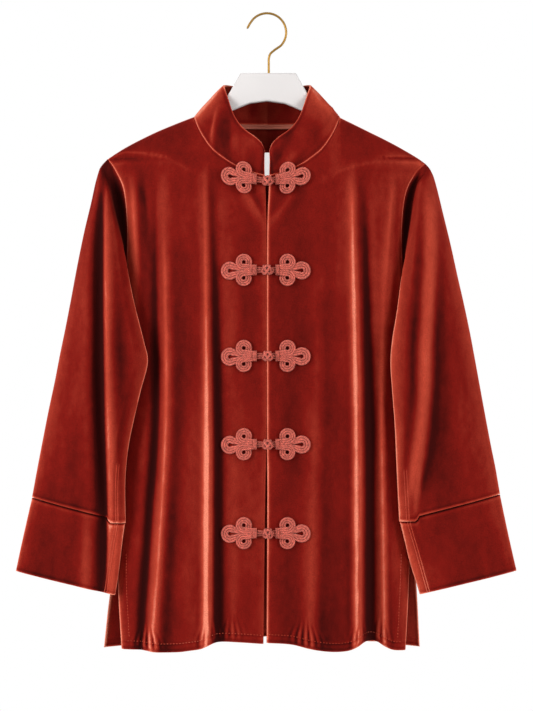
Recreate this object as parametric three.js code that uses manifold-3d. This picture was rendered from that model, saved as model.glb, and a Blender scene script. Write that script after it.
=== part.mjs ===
// A velvet jacket with a mandarin collar and five frog fastenings, hanging on its hanger.
// Millimetres, +Z up, +X to the wearer's left, +Y to the wearer's back.
// The origin is the inside top of the hanger's hook, where a rod carries it.
// Distances from the centre line are given as positive "out" values on both sides.

import * as THREE from 'three';
import { mergeVertices } from 'three/addons/utils/BufferGeometryUtils.js';
import Module from 'manifold-3d';

const wasm = await Module();
wasm.setup();

// ---------------------------------------------------------------- driving dimensions

const clothThickness = 1.6;
const collarThickness = 2.2;
const halfCloth = clothThickness / 2;
const layerGap = 0.6;
const seamDepth = 1.1;

const ventTopHeight = -700;
const hemHeight = -818;
const armRadius = 8;
const chestRise = 45;

// The two sides differ a little, as a worn-in garment does on its hanger.
const sides = {
  right: {
    sign: -1,
    neckPoint: { out: 94.5, z: -134 },
    shoulder: [
      { out: 94.5, z: -134 }, { out: 120, z: -144 }, { out: 147, z: -155.5 },
      { out: 182, z: -173.3 }, { out: 207, z: -189 },
    ],
    sideLine: [
      { z: -189, out: 207 }, { z: -203, out: 197 }, { z: -229, out: 185 }, { z: -284, out: 180 },
      { z: -334, out: 181 }, { z: -380, out: 184 }, { z: -425, out: 188 }, { z: -500, out: 192 },
      { z: -600, out: 194 }, { z: -700, out: 193.5 }, { z: -750, out: 192.5 }, { z: -824, out: 188 },
    ],
    hem: [
      { out: 4, z: -813.5 }, { out: 35, z: -811.5 }, { out: 60, z: -811 }, { out: 73, z: -813.5 },
      { out: 84, z: -819.5 }, { out: 98, z: -822.5 }, { out: 115, z: -825 }, { out: 138, z: -825.5 },
      { out: 165, z: -823.5 }, { out: 188, z: -823.5 },
    ],
    backSideBelowVent: [
      { z: -700, out: 193.5 }, { z: -757, out: 205 }, { z: -825, out: 213 },
    ],
  },
  left: {
    sign: 1,
    neckPoint: { out: 94.5, z: -135 },
    shoulder: [
      { out: 94.5, z: -135 }, { out: 125, z: -150 }, { out: 162, z: -168.5 },
      { out: 193, z: -186.2 }, { out: 205, z: -194.5 },
    ],
    sideLine: [
      { z: -194.5, out: 205 }, { z: -207, out: 192.5 }, { z: -228, out: 180.5 }, { z: -262, out: 174.5 },
      { z: -312, out: 173.5 }, { z: -370, out: 177 }, { z: -425, out: 182 }, { z: -500, out: 187 },
      { z: -600, out: 188 }, { z: -700, out: 185 }, { z: -750, out: 183 }, { z: -825, out: 179 },
    ],
    hem: [
      { out: -1, z: -812 }, { out: 30, z: -814 }, { out: 54, z: -819.6 }, { out: 75, z: -823.4 },
      { out: 93, z: -824 }, { out: 108, z: -821.5 }, { out: 121, z: -813.8 }, { out: 131, z: -811.2 },
      { out: 142, z: -812.6 }, { out: 151, z: -818 }, { out: 162, z: -823.4 }, { out: 179, z: -825 },
    ],
    backSideBelowVent: [
      { z: -700, out: 185 }, { z: -727, out: 193 }, { z: -825, out: 199.5 },
    ],
  },
};

// The neck seam: the front drops deep, the back is shallow.
const frontNeck = [
  { out: 0, z: -213 }, { out: 25, z: -206.5 }, { out: 43, z: -198 }, { out: 56, z: -189 },
  { out: 71, z: -176 }, { out: 84.5, z: -156 }, { out: 94.5, z: -134 },
];
const backNeck = [
  { out: 0, z: -140.5 }, { out: 40, z: -140 }, { out: 72, z: -138 }, { out: 94.5, z: -134 },
];
const backHem = [
  { out: 0, z: -813 }, { out: 60, z: -815 }, { out: 130, z: -819 }, { out: 213, z: -825 },
];

// The centre front: the middle of the opening and how far its two edges stand apart.
const opening = [
  { z: -134, middle: 0.3, gap: 5.4 }, { z: -213, middle: 0.3, gap: 5.2 },
  { z: -285, middle: -0.2, gap: 0.8 }, { z: -550, middle: -0.4, gap: 0.8 },
  { z: -620, middle: -0.9, gap: 2.8 }, { z: -830, middle: -2.7, gap: 4.3 },
];

// How far the cloth stands forward and back of the hanger's plane on the centre line,
// and how deep each armhole stands open.
const bodyDepth = [
  { z: -134, front: 37, back: 30 }, { z: -220, front: 39, back: 34 }, { z: -330, front: 40, back: 38 },
  { z: -520, front: 37, back: 38 }, { z: -680, front: 35, back: 37 }, { z: -830, front: 34, back: 36 },
];
const edgeDepth = [
  { z: -189, front: 1.1, back: 1.1 }, { z: -196, front: 6, back: 7 }, { z: -215, front: 12, back: 14 },
  { z: -260, front: 15, back: 19 }, { z: -330, front: 14, back: 19 }, { z: -390, front: 8, back: 12 },
  { z: -425, front: 1.1, back: 1.1 }, { z: -690, front: 1.1, back: 1.1 },
  { z: -715, front: 3, back: 9 }, { z: -760, front: 6, back: 15 }, { z: -830, front: 9, back: 19 },
];

// Long folds of the two fronts: where each runs at chest, waist and hem, its half width, and
// how far it stands out there. A valley has a negative height.
const frontFolds = [
  { side: 'right', chest: 84, waist: 77, hem: 80, width: 9, atChest: 5, atWaist: 10, atHem: 15 },
  { side: 'right', chest: 70, waist: 65, hem: 64, width: 8, atChest: -2, atWaist: -6, atHem: -9 },
  { side: 'right', chest: 126, waist: 136, hem: 156, width: 17, atChest: 2, atWaist: 7, atHem: 12 },
  { side: 'right', chest: 148, waist: 156, hem: 176, width: 8, atChest: -2, atWaist: -5, atHem: -3 },
  { side: 'right', chest: 108, waist: 106, hem: 112, width: 12, atChest: -1, atWaist: -3, atHem: 5 },
  { side: 'right', chest: 172, waist: 168, hem: 170, width: 8, atChest: 6, atWaist: 0, atHem: 0 },
  { side: 'left', chest: 103, waist: 118, hem: 114, width: 9, atChest: 4, atWaist: 10, atHem: 12 },
  { side: 'left', chest: 122, waist: 131, hem: 130, width: 8, atChest: -1, atWaist: -8, atHem: -11 },
  { side: 'left', chest: 146, waist: 145, hem: 157, width: 8, atChest: 2, atWaist: 8, atHem: 9 },
  { side: 'left', chest: 69, waist: 65, hem: 60, width: 21, atChest: 2, atWaist: 5, atHem: 7 },
  { side: 'left', chest: 84, waist: 90, hem: 88, width: 9, atChest: -1, atWaist: -2, atHem: 4 },
  { side: 'left', chest: 156, waist: 150, hem: 150, width: 8, atChest: 4, atWaist: 0, atHem: 0 },
];
const backFolds = [
  { side: 'right', chest: 150, waist: 140, hem: 138, width: 16, atChest: 3, atWaist: 8, atHem: 12 },
  { side: 'right', chest: 110, waist: 104, hem: 98, width: 12, atChest: -2, atWaist: -5, atHem: -8 },
  { side: 'right', chest: 60, waist: 58, hem: 52, width: 15, atChest: 1, atWaist: 5, atHem: 9 },
  { side: 'right', chest: 20, waist: 18, hem: 14, width: 13, atChest: 0, atWaist: -2, atHem: -5 },
  { side: 'left', chest: 148, waist: 146, hem: 150, width: 14, atChest: 3, atWaist: 7, atHem: 11 },
  { side: 'left', chest: 116, waist: 112, hem: 112, width: 12, atChest: -2, atWaist: -5, atHem: -7 },
  { side: 'left', chest: 74, waist: 72, hem: 70, width: 16, atChest: 2, atWaist: 6, atHem: 8 },
  { side: 'left', chest: 34, waist: 30, hem: 30, width: 13, atChest: 0, atWaist: -3, atHem: -4 },
];
const foldHeights = { chest: -250, waist: -530, hem: -820 };

// Sleeve sections from the shoulder to the cuff seam: the outer edge, the inner fold that lies
// in front of the body, and how far the front and the back of the sleeve stand out.
const sleeveRows = {
  right: [
    { outerX: 210, outerZ: -190, foldX: 207, foldZ: -192, front: 6.5, back: 6.5, forward: 0 },
    { outerX: 214.5, outerZ: -197, foldX: 207, foldZ: -203, front: 11, back: 11, forward: 0 },
    { outerX: 218.5, outerZ: -204, foldX: 206, foldZ: -214, front: 16, back: 16, forward: 0 },
    { outerX: 223, outerZ: -223, foldX: 202.5, foldZ: -236, front: 22, back: 22, forward: 0 },
    { outerX: 228, outerZ: -246, foldX: 197, foldZ: -262, front: 27, back: 27, forward: 0 },
    { outerX: 237, outerZ: -284, foldX: 187.3, foldZ: -300, front: 32, back: 33, forward: 0 },
    { outerX: 246, outerZ: -328, foldX: 179, foldZ: -342, front: 37, back: 36, forward: 0 },
    { outerX: 254, outerZ: -371, foldX: 170, foldZ: -382, front: 40, back: 37, forward: 0 },
    { outerX: 262, outerZ: -412, foldX: 159, foldZ: -425, front: 42, back: 37, forward: 0 },
    { outerX: 268, outerZ: -441, foldX: 154, foldZ: -452, front: 42, back: 36, forward: 0 },
    { outerX: 275, outerZ: -477, foldX: 163, foldZ: -488, front: 39, back: 34, forward: 0 },
    { outerX: 283, outerZ: -515, foldX: 172, foldZ: -525, front: 35, back: 31, forward: 1 },
    { outerX: 291, outerZ: -556, foldX: 180, foldZ: -564, front: 30, back: 28, forward: 2 },
    { outerX: 298, outerZ: -593, foldX: 184, foldZ: -606, front: 25, back: 24, forward: 3 },
    { outerX: 304, outerZ: -627, foldX: 183.5, foldZ: -658, front: 19, back: 20, forward: 5 },
  ],
  left: [
    { outerX: 208, outerZ: -195.5, foldX: 205, foldZ: -197.5, front: 6.5, back: 6.5, forward: 0 },
    { outerX: 212, outerZ: -202, foldX: 202, foldZ: -208, front: 11, back: 11, forward: 0 },
    { outerX: 216, outerZ: -212, foldX: 196, foldZ: -222, front: 16, back: 16, forward: 0 },
    { outerX: 221, outerZ: -230, foldX: 191, foldZ: -244, front: 22, back: 22, forward: 0 },
    { outerX: 228, outerZ: -259, foldX: 187, foldZ: -272, front: 28, back: 28, forward: 0 },
    { outerX: 237.5, outerZ: -298, foldX: 180.5, foldZ: -310, front: 34, back: 33, forward: 0 },
    { outerX: 247, outerZ: -341, foldX: 173, foldZ: -352, front: 38, back: 36, forward: 0 },
    { outerX: 255, outerZ: -376, foldX: 168, foldZ: -386, front: 40, back: 37, forward: 0 },
    { outerX: 263, outerZ: -414, foldX: 161.5, foldZ: -425, front: 42, back: 37, forward: 0 },
    { outerX: 269, outerZ: -446, foldX: 159.5, foldZ: -454, front: 42, back: 36, forward: 0 },
    { outerX: 276, outerZ: -484, foldX: 162, foldZ: -492, front: 39, back: 34, forward: 0 },
    { outerX: 282.5, outerZ: -520, foldX: 165, foldZ: -530, front: 35, back: 31, forward: 1 },
    { outerX: 290, outerZ: -560, foldX: 167, foldZ: -571, front: 30, back: 28, forward: 2 },
    { outerX: 296, outerZ: -590, foldX: 169, foldZ: -612, front: 25, back: 24, forward: 3 },
    { outerX: 301.5, outerZ: -623, foldX: 171.5, foldZ: -656, front: 19, back: 20, forward: 5 },
  ],
};
const underarmRow = 8;

const cuffRows = {
  right: [
    { outerX: 304, outerZ: -628, foldX: 184.5, foldZ: -659, front: 17.5, back: 18.5, forward: 5 },
    { outerX: 311, outerZ: -659, foldX: 189, foldZ: -690, front: 14.5, back: 16, forward: 6.5 },
    { outerX: 318, outerZ: -691, foldX: 193.5, foldZ: -722, front: 12.5, back: 15, forward: 8 },
    { outerX: 324.5, outerZ: -722.5, foldX: 198, foldZ: -752.5, front: 11, back: 14, forward: 9 },
  ],
  left: [
    { outerX: 301.5, outerZ: -624, foldX: 172.5, foldZ: -657, front: 17.5, back: 18.5, forward: 5 },
    { outerX: 308, outerZ: -656, foldX: 181, foldZ: -690, front: 14.5, back: 16, forward: 6.5 },
    { outerX: 315, outerZ: -689, foldX: 190, foldZ: -722, front: 12.5, back: 15, forward: 8 },
    { outerX: 322.5, outerZ: -722, foldX: 198.5, foldZ: -751.5, front: 11, back: 14, forward: 9 },
  ],
};

// The collar's upper edge, from the centre front round the side to the centre back. Each row
// stands over the point of the neck seam with the same "seam" distance out from the centre.
const collarFrontTop = [
  { seam: 2.9, out: 3.4, y: -33, z: -181 }, { seam: 8, out: 7, y: -32.5, z: -171 },
  { seam: 17, out: 14.3, y: -31.5, z: -163.3 }, { seam: 29, out: 20, y: -30, z: -159 },
  { seam: 42, out: 26, y: -28, z: -154.5 }, { seam: 55, out: 33.5, y: -25, z: -147.5 },
  { seam: 69, out: 42, y: -19, z: -134 }, { seam: 82, out: 49.5, y: -10, z: -113 },
  { seam: 94.5, out: 56, y: 1, z: -92.5 },
];
const collarBackTop = [
  { seam: 94.5, out: 56, y: 1, z: -92.5 }, { seam: 82, out: 51, y: 11, z: -91 },
  { seam: 67, out: 43, y: 19, z: -91 }, { seam: 50, out: 33, y: 24, z: -92 },
  { seam: 33, out: 22, y: 27.5, z: -93 }, { seam: 16, out: 11, y: 29, z: -94 },
  { seam: 0, out: 0, y: 29.5, z: -94 },
];
const collarBulge = 1.6;
const collarLift = 1.3;

// Frog fastenings. Each half has an outer loop and two inner loops of flat braid. A half's seat
// is how far its flat back stands off the cloth: it bridges a fold where one runs under it.
const frogs = [
  { z: -220, tilt: 0.15, knot: 0.6, loop: 0.6 },
  { z: -334, tilt: 0, knot: 0.4, loop: 0.4 },
  { z: -444, tilt: 0, knot: 0.6, loop: 0.4 },
  { z: -557, tilt: 0, knot: 1.05, loop: 0.4 },
  { z: -671, tilt: 0, knot: 1.35, loop: 0.4 },
];
const braidThickness = 3;
const loopHoleRadius = 2.2;
const knotRadius = 6;
const frogHalves = {
  knot: {
    sign: -1, neckFrom: 4, neckTo: 22, neckHalf: 3.4,
    loops: [{ out: 47.5, up: -1, radius: 11.6 }, { out: 30, up: 10, radius: 10.3 },
      { out: 30, up: -10.3, radius: 10.1 }],
  },
  loop: {
    sign: 1, neckFrom: 6.6, neckTo: 20, neckHalf: 3.4,
    loops: [{ out: 44.5, up: -0.5, radius: 11.6 }, { out: 26.3, up: 10, radius: 10.3 },
      { out: 26, up: -10.1, radius: 10.1 }],
  },
};

const tape = { halfLength: 78, height: 5.5, below: 1, thickness: 1 };
const label = { halfWidth: 16, top: -177, bottom: -211, thickness: 0.8 };

// The hanger: a flat-topped neck block on two sloping arms, and a bent wire hook.
const hanger = {
  centre: 1.5, topHalf: 36, top: -76.6, cheekHalf: 50, cheek: -101.5, archPeak: -113,
  archHalf: 45, archFoot: -125, halfDepth: 5, bevel: 2.5, armTop: 2.5, armEnd: 196, armTaper: 14,
  neckDip: [{ out: 64, z: -122 }, { out: 79, z: -139 }, { out: 95, z: -144 }],
};
const hook = {
  wire: 1.5, stemX: 2.3, stemFoot: -92, boreRadius: 1.85, ringRadius: 23.4, ringStart: 150,
  bendAngle: -42, tipX: -26.1, tipZ: -18.9,
};

// ---------------------------------------------------------------- small helpers

const mix = (a, b, t) => a + (b - a) * t;
const clamp = (value, low, high) => Math.min(high, Math.max(low, value));
const smooth = (value, from, to) => {
  const t = clamp((value - from) / (to - from), 0, 1);
  return t * t * (3 - 2 * t);
};

// A smooth value from a table whose rows run one way along the column `key`.
function read(table, key, at, column) {
  const last = table.length - 1;
  const rising = table[last][key] > table[0][key] ? 1 : -1;
  if ((at - table[0][key]) * rising <= 0) return table[0][column];
  if ((at - table[last][key]) * rising >= 0) return table[last][column];
  let i = 0;
  while ((at - table[i + 1][key]) * rising > 0) i += 1;
  const [before, from, to, after] = [table[Math.max(i - 1, 0)], table[i], table[i + 1],
    table[Math.min(i + 2, last)]];
  const span = to[key] - from[key];
  const t = (at - from[key]) / span;
  const slopeFrom = span * (to[column] - before[column]) / (to[key] - before[key]);
  const slopeTo = span * (after[column] - from[column]) / (after[key] - from[key]);
  const rise = to[column] - from[column];
  return from[column] + t * (slopeFrom + t * ((3 * rise - 2 * slopeFrom - slopeTo)
    + t * (slopeFrom + slopeTo - 2 * rise)));
}

// A closed wall of cloth on a grid of points. From row `joinFrom` on, the last point of a row
// is its first one, so the sheet closes to a tube there.
function clothWall(rows, thickness, joinFrom = Infinity) {
  const points = [];
  const index = rows.map((row, i) => row.map((point, j) => {
    if (i >= joinFrom && j === row.length - 1) return -1;
    points.push(point.clone());
    return points.length - 1;
  }));
  index.forEach((row) => {
    if (row[row.length - 1] === -1) row[row.length - 1] = row[0];
  });
  const faces = [];
  for (let i = 0; i + 1 < index.length; i += 1) {
    for (let j = 0; j + 1 < index[i].length; j += 1) {
      const [a, b, c, d] = [index[i][j], index[i][j + 1], index[i + 1][j + 1], index[i + 1][j]];
      faces.push([a, b, c], [a, c, d]);
    }
  }
  return thicken(points, faces, thickness);
}

// Two skins half a thickness each way from the points, with rims along every free edge.
function thicken(points, faces, thickness) {
  const normals = points.map(() => new THREE.Vector3());
  for (const [a, b, c] of faces) {
    const face = new THREE.Vector3().subVectors(points[b], points[a])
      .cross(new THREE.Vector3().subVectors(points[c], points[a]));
    for (const corner of [a, b, c]) normals[corner].add(face);
  }
  normals.forEach((normal) => normal.normalize());
  const skin = (way) => points.map((p, i) => p.clone().addScaledVector(normals[i], way * thickness / 2));
  const all = [...skin(1), ...skin(-1)];
  const n = points.length;
  const triangles = faces.flatMap(([a, b, c]) => [[a, b, c], [a + n, c + n, b + n]]);
  const edges = new Set(faces.flatMap(([a, b, c]) => [`${a} ${b}`, `${b} ${c}`, `${c} ${a}`]));
  for (const edge of edges) {
    const [a, b] = edge.split(' ').map(Number);
    if (!edges.has(`${b} ${a}`)) triangles.push([b, a, a + n], [b, a + n, b + n]);
  }
  return solidGeometry(all, triangles);
}

function solidGeometry(points, triangles) {
  const geometry = new THREE.BufferGeometry();
  const places = points.flatMap((p) => [p.x, p.y, p.z]);
  geometry.setAttribute('position', new THREE.Float32BufferAttribute(places, 3));
  const volume = triangles.reduce((sum, [a, b, c]) => sum
    + points[a].dot(new THREE.Vector3().crossVectors(points[b], points[c])), 0);
  const facing = triangles.map(([a, b, c]) => (volume < 0 ? [a, c, b] : [a, b, c]));
  geometry.setIndex(facing.flat());
  geometry.computeVertexNormals();
  return geometry;
}

function toManifold(geometry) {
  const bare = geometry.clone();
  bare.deleteAttribute('normal');
  bare.deleteAttribute('uv');
  const merged = mergeVertices(bare, 1e-4);
  return new wasm.Manifold(new wasm.Mesh({
    numProp: 3,
    vertProperties: new Float32Array(merged.attributes.position.array),
    triVerts: new Uint32Array(merged.index.array),
  }));
}

function fromManifold(solid) {
  const mesh = solid.getMesh();
  const geometry = new THREE.BufferGeometry();
  geometry.setAttribute('position', new THREE.BufferAttribute(new Float32Array(mesh.vertProperties), 3));
  geometry.setIndex(Array.from(mesh.triVerts));
  geometry.computeVertexNormals();
  return geometry;
}

const v3 = (x, y, z) => new THREE.Vector3(x, y, z);

// ---------------------------------------------------------------- the body's surfaces

const shoulderHeight = (side, out) => {
  const line = side.shoulder;
  if (out < line[0].out) return line[0].z + (line[0].out - out) * 0.42;
  return read(line, 'out', out, 'z');
};

const foldCentre = (fold, z) => {
  const { chest, waist, hem } = foldHeights;
  const upper = mix(fold.waist, fold.chest, (z - waist) / (chest - waist));
  const lower = mix(fold.hem, fold.waist, (z - hem) / (waist - hem));
  return mix(lower, upper, smooth(z, waist - 120, waist + 120));
};

const foldHeight = (fold, z) => {
  const rows = [
    { z: foldHeights.chest + 60, h: 0 }, { z: foldHeights.chest, h: fold.atChest },
    { z: foldHeights.waist, h: fold.atWaist }, { z: foldHeights.hem, h: fold.atHem },
  ];
  return read(rows, 'z', z, 'h');
};

function foldsAt(folds, sideName, out, z) {
  return folds.filter((fold) => fold.side === sideName).reduce((sum, fold) => {
    const away = (out - foldCentre(fold, z)) / fold.width;
    return sum + foldHeight(fold, z) * Math.exp(-away * away);
  }, 0);
}

const frontSide = (side, z) => read(side.sideLine, 'z', z, 'out');
const backSide = (side, z) => (z > ventTopHeight ? frontSide(side, z)
  : read(side.backSideBelowVent, 'z', z, 'out'));

// How far the cloth stands from the hanger's plane at a place on one half of a panel.
function standOut(sideName, out, z, face) {
  const side = sides[sideName];
  const edge = face === 'front' ? frontSide(side, z) : backSide(side, z);
  const share = clamp(Math.abs(out) / edge, 0, 1);
  const rim = read(edgeDepth, 'z', z, face);
  const middle = read(bodyDepth, 'z', z, face);
  const full = rim + (middle - rim) * Math.pow(1 - share * share, 0.75);
  const drop = Math.max(shoulderHeight(side, Math.abs(out)) - z, 0);
  const overArm = armRadius * Math.sqrt(1 - Math.pow(1 - Math.min(drop, armRadius) / armRadius, 2));
  const carried = seamDepth + overArm + (middle - armRadius) * (1 - Math.exp(-drop / chestRise));
  const folds = face === 'front' ? frontFolds : backFolds;
  const loose = (1 - Math.pow(share, 8)) * smooth(drop, 10, 90);
  return Math.max(Math.min(full, carried), seamDepth) + loose * foldsAt(folds, sideName, out, z);
}

const onFront = (sideName, out, z, forward = 0) => v3(sides[sideName].sign * out,
  -standOut(sideName, out, z, 'front') - forward, z);
const onBack = (sideName, out, z, backward = 0) => v3(sides[sideName].sign * out,
  standOut(sideName, out, z, 'back') + backward, z);

// ---------------------------------------------------------------- fronts and back

const neckShare = 94.5 / 207;
const neckColumns = [0, 0.085, 0.18, 0.31, 0.43, 0.54, 0.64, 0.74, 0.87, 1].map((t) => t * neckShare);
const shoulderColumns = [0.14, 0.27, 0.4, 0.53, 0.65, 0.76, 0.86, 0.94, 1]
  .map((t) => neckShare + t * (1 - neckShare));
const columns = [...neckColumns, ...shoulderColumns];
const panelRows = [0, 0.004, 0.0125, 0.035, 0.07, 0.115, 0.17, 0.235, 0.31, 0.39, 0.47, 0.55, 0.63, 0.71,
  0.785, 0.855, 0.92, 0.97, 1];

const openingEdge = (side, z) => side.sign * read(opening, 'z', z, 'middle')
  + read(opening, 'z', z, 'gap') / 2;

function frontPanel(sideName) {
  const side = sides[sideName];
  const tip = side.shoulder[side.shoulder.length - 1];
  const rows = panelRows.map((down) => columns.map((share) => {
    const topOut = mix(openingEdge(side, frontNeck[0].z), tip.out, share);
    const top = topOut <= side.neckPoint.out ? read(frontNeck, 'out', topOut, 'z')
      : shoulderHeight(side, topOut);
    const hemOut = mix(openingEdge(side, hemHeight), side.hem[side.hem.length - 1].out, share);
    const z = mix(top, read(side.hem, 'out', hemOut, 'z'), down);
    return onFront(sideName, mix(openingEdge(side, z), frontSide(side, z), share), z);
  }));
  return clothWall(rows, clothThickness);
}

function backPanel() {
  const half = (sideName) => {
    const side = sides[sideName];
    const tip = side.shoulder[side.shoulder.length - 1];
    return panelRows.map((down) => columns.map((share) => {
      const topOut = tip.out * share;
      const top = topOut <= side.neckPoint.out ? read(backNeck, 'out', topOut, 'z')
        : shoulderHeight(side, topOut);
      const hemOut = side.backSideBelowVent[side.backSideBelowVent.length - 1].out * share;
      const z = mix(top, read(backHem, 'out', hemOut, 'z'), down);
      return onBack(sideName, backSide(side, z) * share, z);
    }));
  };
  const [right, left] = [half('right'), half('left')];
  const rows = right.map((row, i) => [...row.slice(1).reverse(), ...left[i]]);
  return clothWall(rows, clothThickness);
}

// The front panel's own flat facets, between its columns, for what is laid on it.
function onFrontFacets(sideName, out, z, forward) {
  const side = sides[sideName];
  const from = openingEdge(side, z);
  const reach = frontSide(side, z) - from;
  const share = clamp((out - from) / reach, 0, 1);
  const next = Math.max(columns.findIndex((column) => column >= share), 1);
  const depthAt = (column) => standOut(sideName, from + reach * column, z, 'front');
  const t = (share - columns[next - 1]) / (columns[next] - columns[next - 1]);
  return v3(side.sign * out, -mix(depthAt(columns[next - 1]), depthAt(columns[next]), t) - forward, z);
}

// ---------------------------------------------------------------- collar, tape and label

function collarPiece() {
  const station = (sideName, face, row) => {
    const neck = face === 'front' ? frontNeck : backNeck;
    const place = face === 'front' ? onFront : onBack;
    const foot = place(sideName, row.seam, read(neck, 'out', row.seam, 'z'));
    const top = v3(sides[sideName].sign * row.out, row.y, row.z);
    const up = top.clone().sub(foot).normalize();
    foot.addScaledVector(up, collarLift);
    const middle = foot.clone().lerp(top, 0.5);
    const outward = v3(middle.x, middle.y, 0).normalize();
    middle.addScaledVector(outward, collarBulge);
    return [foot, middle, top];
  };
  const half = (sideName) => [
    ...collarFrontTop.map((row) => station(sideName, 'front', row)),
    ...collarBackTop.slice(1).map((row) => station(sideName, 'back', row)),
  ];
  const right = half('right');
  const left = half('left').reverse().slice(1);
  const stations = [...right, ...left];
  const rows = [0, 1, 2].map((level) => stations.map((points) => points[level]));
  return clothWall(rows, collarThickness);
}

// A strip on the inside of the back panel, made from the panel's own points.
function insideBack(outs, heights, thickness) {
  const inward = halfCloth + layerGap + thickness / 2;
  const rows = heights.map((heightAt) => outs.map((out) => {
    const sideName = out < 0 ? 'right' : 'left';
    return onBack(sideName, Math.abs(out), heightAt(Math.abs(out)), -inward);
  }));
  return clothWall(rows, thickness);
}

function neckTape() {
  const steps = [-1, -0.8, -0.6, -0.4, -0.2, 0, 0.2, 0.4, 0.6, 0.8, 1].map((t) => t * tape.halfLength);
  const edge = (below) => (out) => read(backNeck, 'out', out, 'z') - below;
  return insideBack(steps, [edge(tape.below), edge(tape.below + tape.height)], tape.thickness);
}

function neckLabel() {
  const steps = [-1, -0.5, 0, 0.5, 1].map((t) => t * label.halfWidth);
  return insideBack(steps, [() => label.top, () => (label.top + label.bottom) / 2, () => label.bottom],
    label.thickness);
}

// ---------------------------------------------------------------- sleeves and cuffs

// One section of a sleeve: from the front armhole edge (or the underarm seam) round the inner
// fold, the front, the outer edge and the back to the back armhole edge (or the seam again).
function sleeveSection(sideName, row, joined) {
  const side = sides[sideName];
  const width = row.outerX - row.foldX;
  const heightAt = (out) => mix(row.foldZ, row.outerZ, clamp((out - row.foldX) / width, 0, 1));
  const bodyEdge = frontSide(side, row.foldZ);
  const over = (out) => standOut(sideName, Math.min(out, bodyEdge), row.foldZ, 'front') + halfCloth;
  const lap = bodyEdge - row.foldX;
  const clear = layerGap + halfCloth;
  const rimFront = read(edgeDepth, 'z', row.foldZ, 'front');
  const rimBack = read(edgeDepth, 'z', row.foldZ, 'back');
  const rimOut = bodyEdge + halfCloth + layerGap;
  const start = joined ? { out: Math.max(bodyEdge + 3.5, row.foldX + 7), y: 1 }
    : { out: rimOut, y: -rimFront };
  const end = joined ? start : { out: rimOut, y: rimBack };
  // Where the fold hangs well outside the armhole, the cloth dips straight back between them.
  // Lower down it turns in a crease behind the armhole edge and laps forward over the body.
  const apart = smooth(row.foldX - start.out, 3, 8);
  const lapped = smooth(lap, -12, 8);
  const under = mix(row.foldX, bodyEdge, 0.55);
  const behind = over(under) + clear + 1;
  const front = (share) => -row.front * share - row.forward;
  const back = (share) => row.back * share - row.forward;
  const outermost = Math.max(start.out, row.foldX);
  const dip = clamp((row.foldX - start.out) * 0.55, 2.5, rimFront * 0.65);
  const crease = {
    out: mix(outermost + (joined ? 3 : 6.5), mix(start.out, row.foldX, 0.5), apart),
    y: joined ? -5 : -rimFront + dip,
  };
  const turn = {
    out: mix(outermost + (joined ? 2.5 : 6), mix(start.out, row.foldX, 0.85), apart),
    y: mix(-behind, Math.min(front(0.3), crease.y - 1.5), apart),
  };
  const behindFold = {
    out: mix(mix(row.foldX + 1.5, under, lapped), row.foldX - 0.5, apart),
    y: mix(-behind - 0.6, front(0.55), apart),
  };
  const foldY = Math.min(front(0.72), mix(-behind - 4.5, 0, apart));
  const full = [
    start,
    crease,
    turn,
    behindFold,
    { out: row.foldX, y: foldY },
    { out: row.foldX + width * 0.13, y: Math.min(front(0.95), foldY - 2.5) },
    { out: row.foldX + width * 0.42, y: front(0.97) },
    { out: row.foldX + width * 0.74, y: front(0.78) },
    { out: row.foldX + width * 0.95, y: front(0.34) },
    { out: row.outerX, y: -row.forward },
    { out: row.foldX + width * 0.94, y: back(0.4) },
    { out: row.foldX + width * 0.7, y: back(0.86) },
    { out: mix(end.out, row.outerX, 0.3), y: back(1) },
    { out: mix(end.out, row.outerX, 0.07), y: mix(rimBack, back(1), 0.5) },
    end,
  ];
  // Over the shoulder tip the section is a plain arch between the armhole's two edges.
  const opened = smooth(width, 3, 20);
  const key = full.map((point, i) => {
    const turned = Math.PI * (i / (full.length - 1) - 0.5);
    const reach = Math.cos(turned);
    const archY = Math.sin(turned) * (turned < 0 ? rimFront : rimBack);
    const arch = { out: mix(start.out, row.outerX, reach), y: archY };
    return { out: mix(arch.out, point.out, opened), y: mix(arch.y, point.y, opened) };
  });
  const halved = [4, 5, 6, 7, 10, 11, 12];
  const path = new THREE.CatmullRomCurve3(key.map((k) => v3(k.out, k.y, 0)), false, 'centripetal');
  const points = [];
  for (let i = 0; i + 1 < key.length; i += 1) {
    points.push(path.getPoint(i / (key.length - 1)));
    if (halved.includes(i)) points.push(path.getPoint((i + 0.5) / (key.length - 1)));
  }
  points.push(path.getPoint(1));
  return points.map((p) => v3(side.sign * p.x, p.y, heightAt(p.x)));
}

function sleevePiece(sideName) {
  const rows = sleeveRows[sideName].map((row, i) => sleeveSection(sideName, row, i >= underarmRow));
  return clothWall(rows, clothThickness, underarmRow);
}

function cuffPiece(sideName) {
  const rows = cuffRows[sideName].map((row) => sleeveSection(sideName, row, true));
  return clothWall(rows, clothThickness, 0);
}

// ---------------------------------------------------------------- frog fastenings

// A flat plate of braid in its own plane: x out from the knot, y up, z off the cloth.
function braidPlate(shape) {
  return toManifold(new THREE.ExtrudeGeometry(shape, {
    depth: braidThickness, bevelEnabled: false, curveSegments: 6,
  }));
}

function loopPlate(loop) {
  const shape = new THREE.Shape();
  shape.absarc(loop.out, loop.up, loop.radius, 0, Math.PI * 2);
  const hole = new THREE.Path();
  hole.absarc(loop.out, loop.up, loopHoleRadius, 0, Math.PI * 2);
  const plate = braidPlate(shape);
  const plug = braidPlate(new THREE.Shape(hole.getPoints(3)));
  return { plate, plug: plug.translate([0, 0, -1]).scale([1, 1, 2]) };
}

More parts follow.
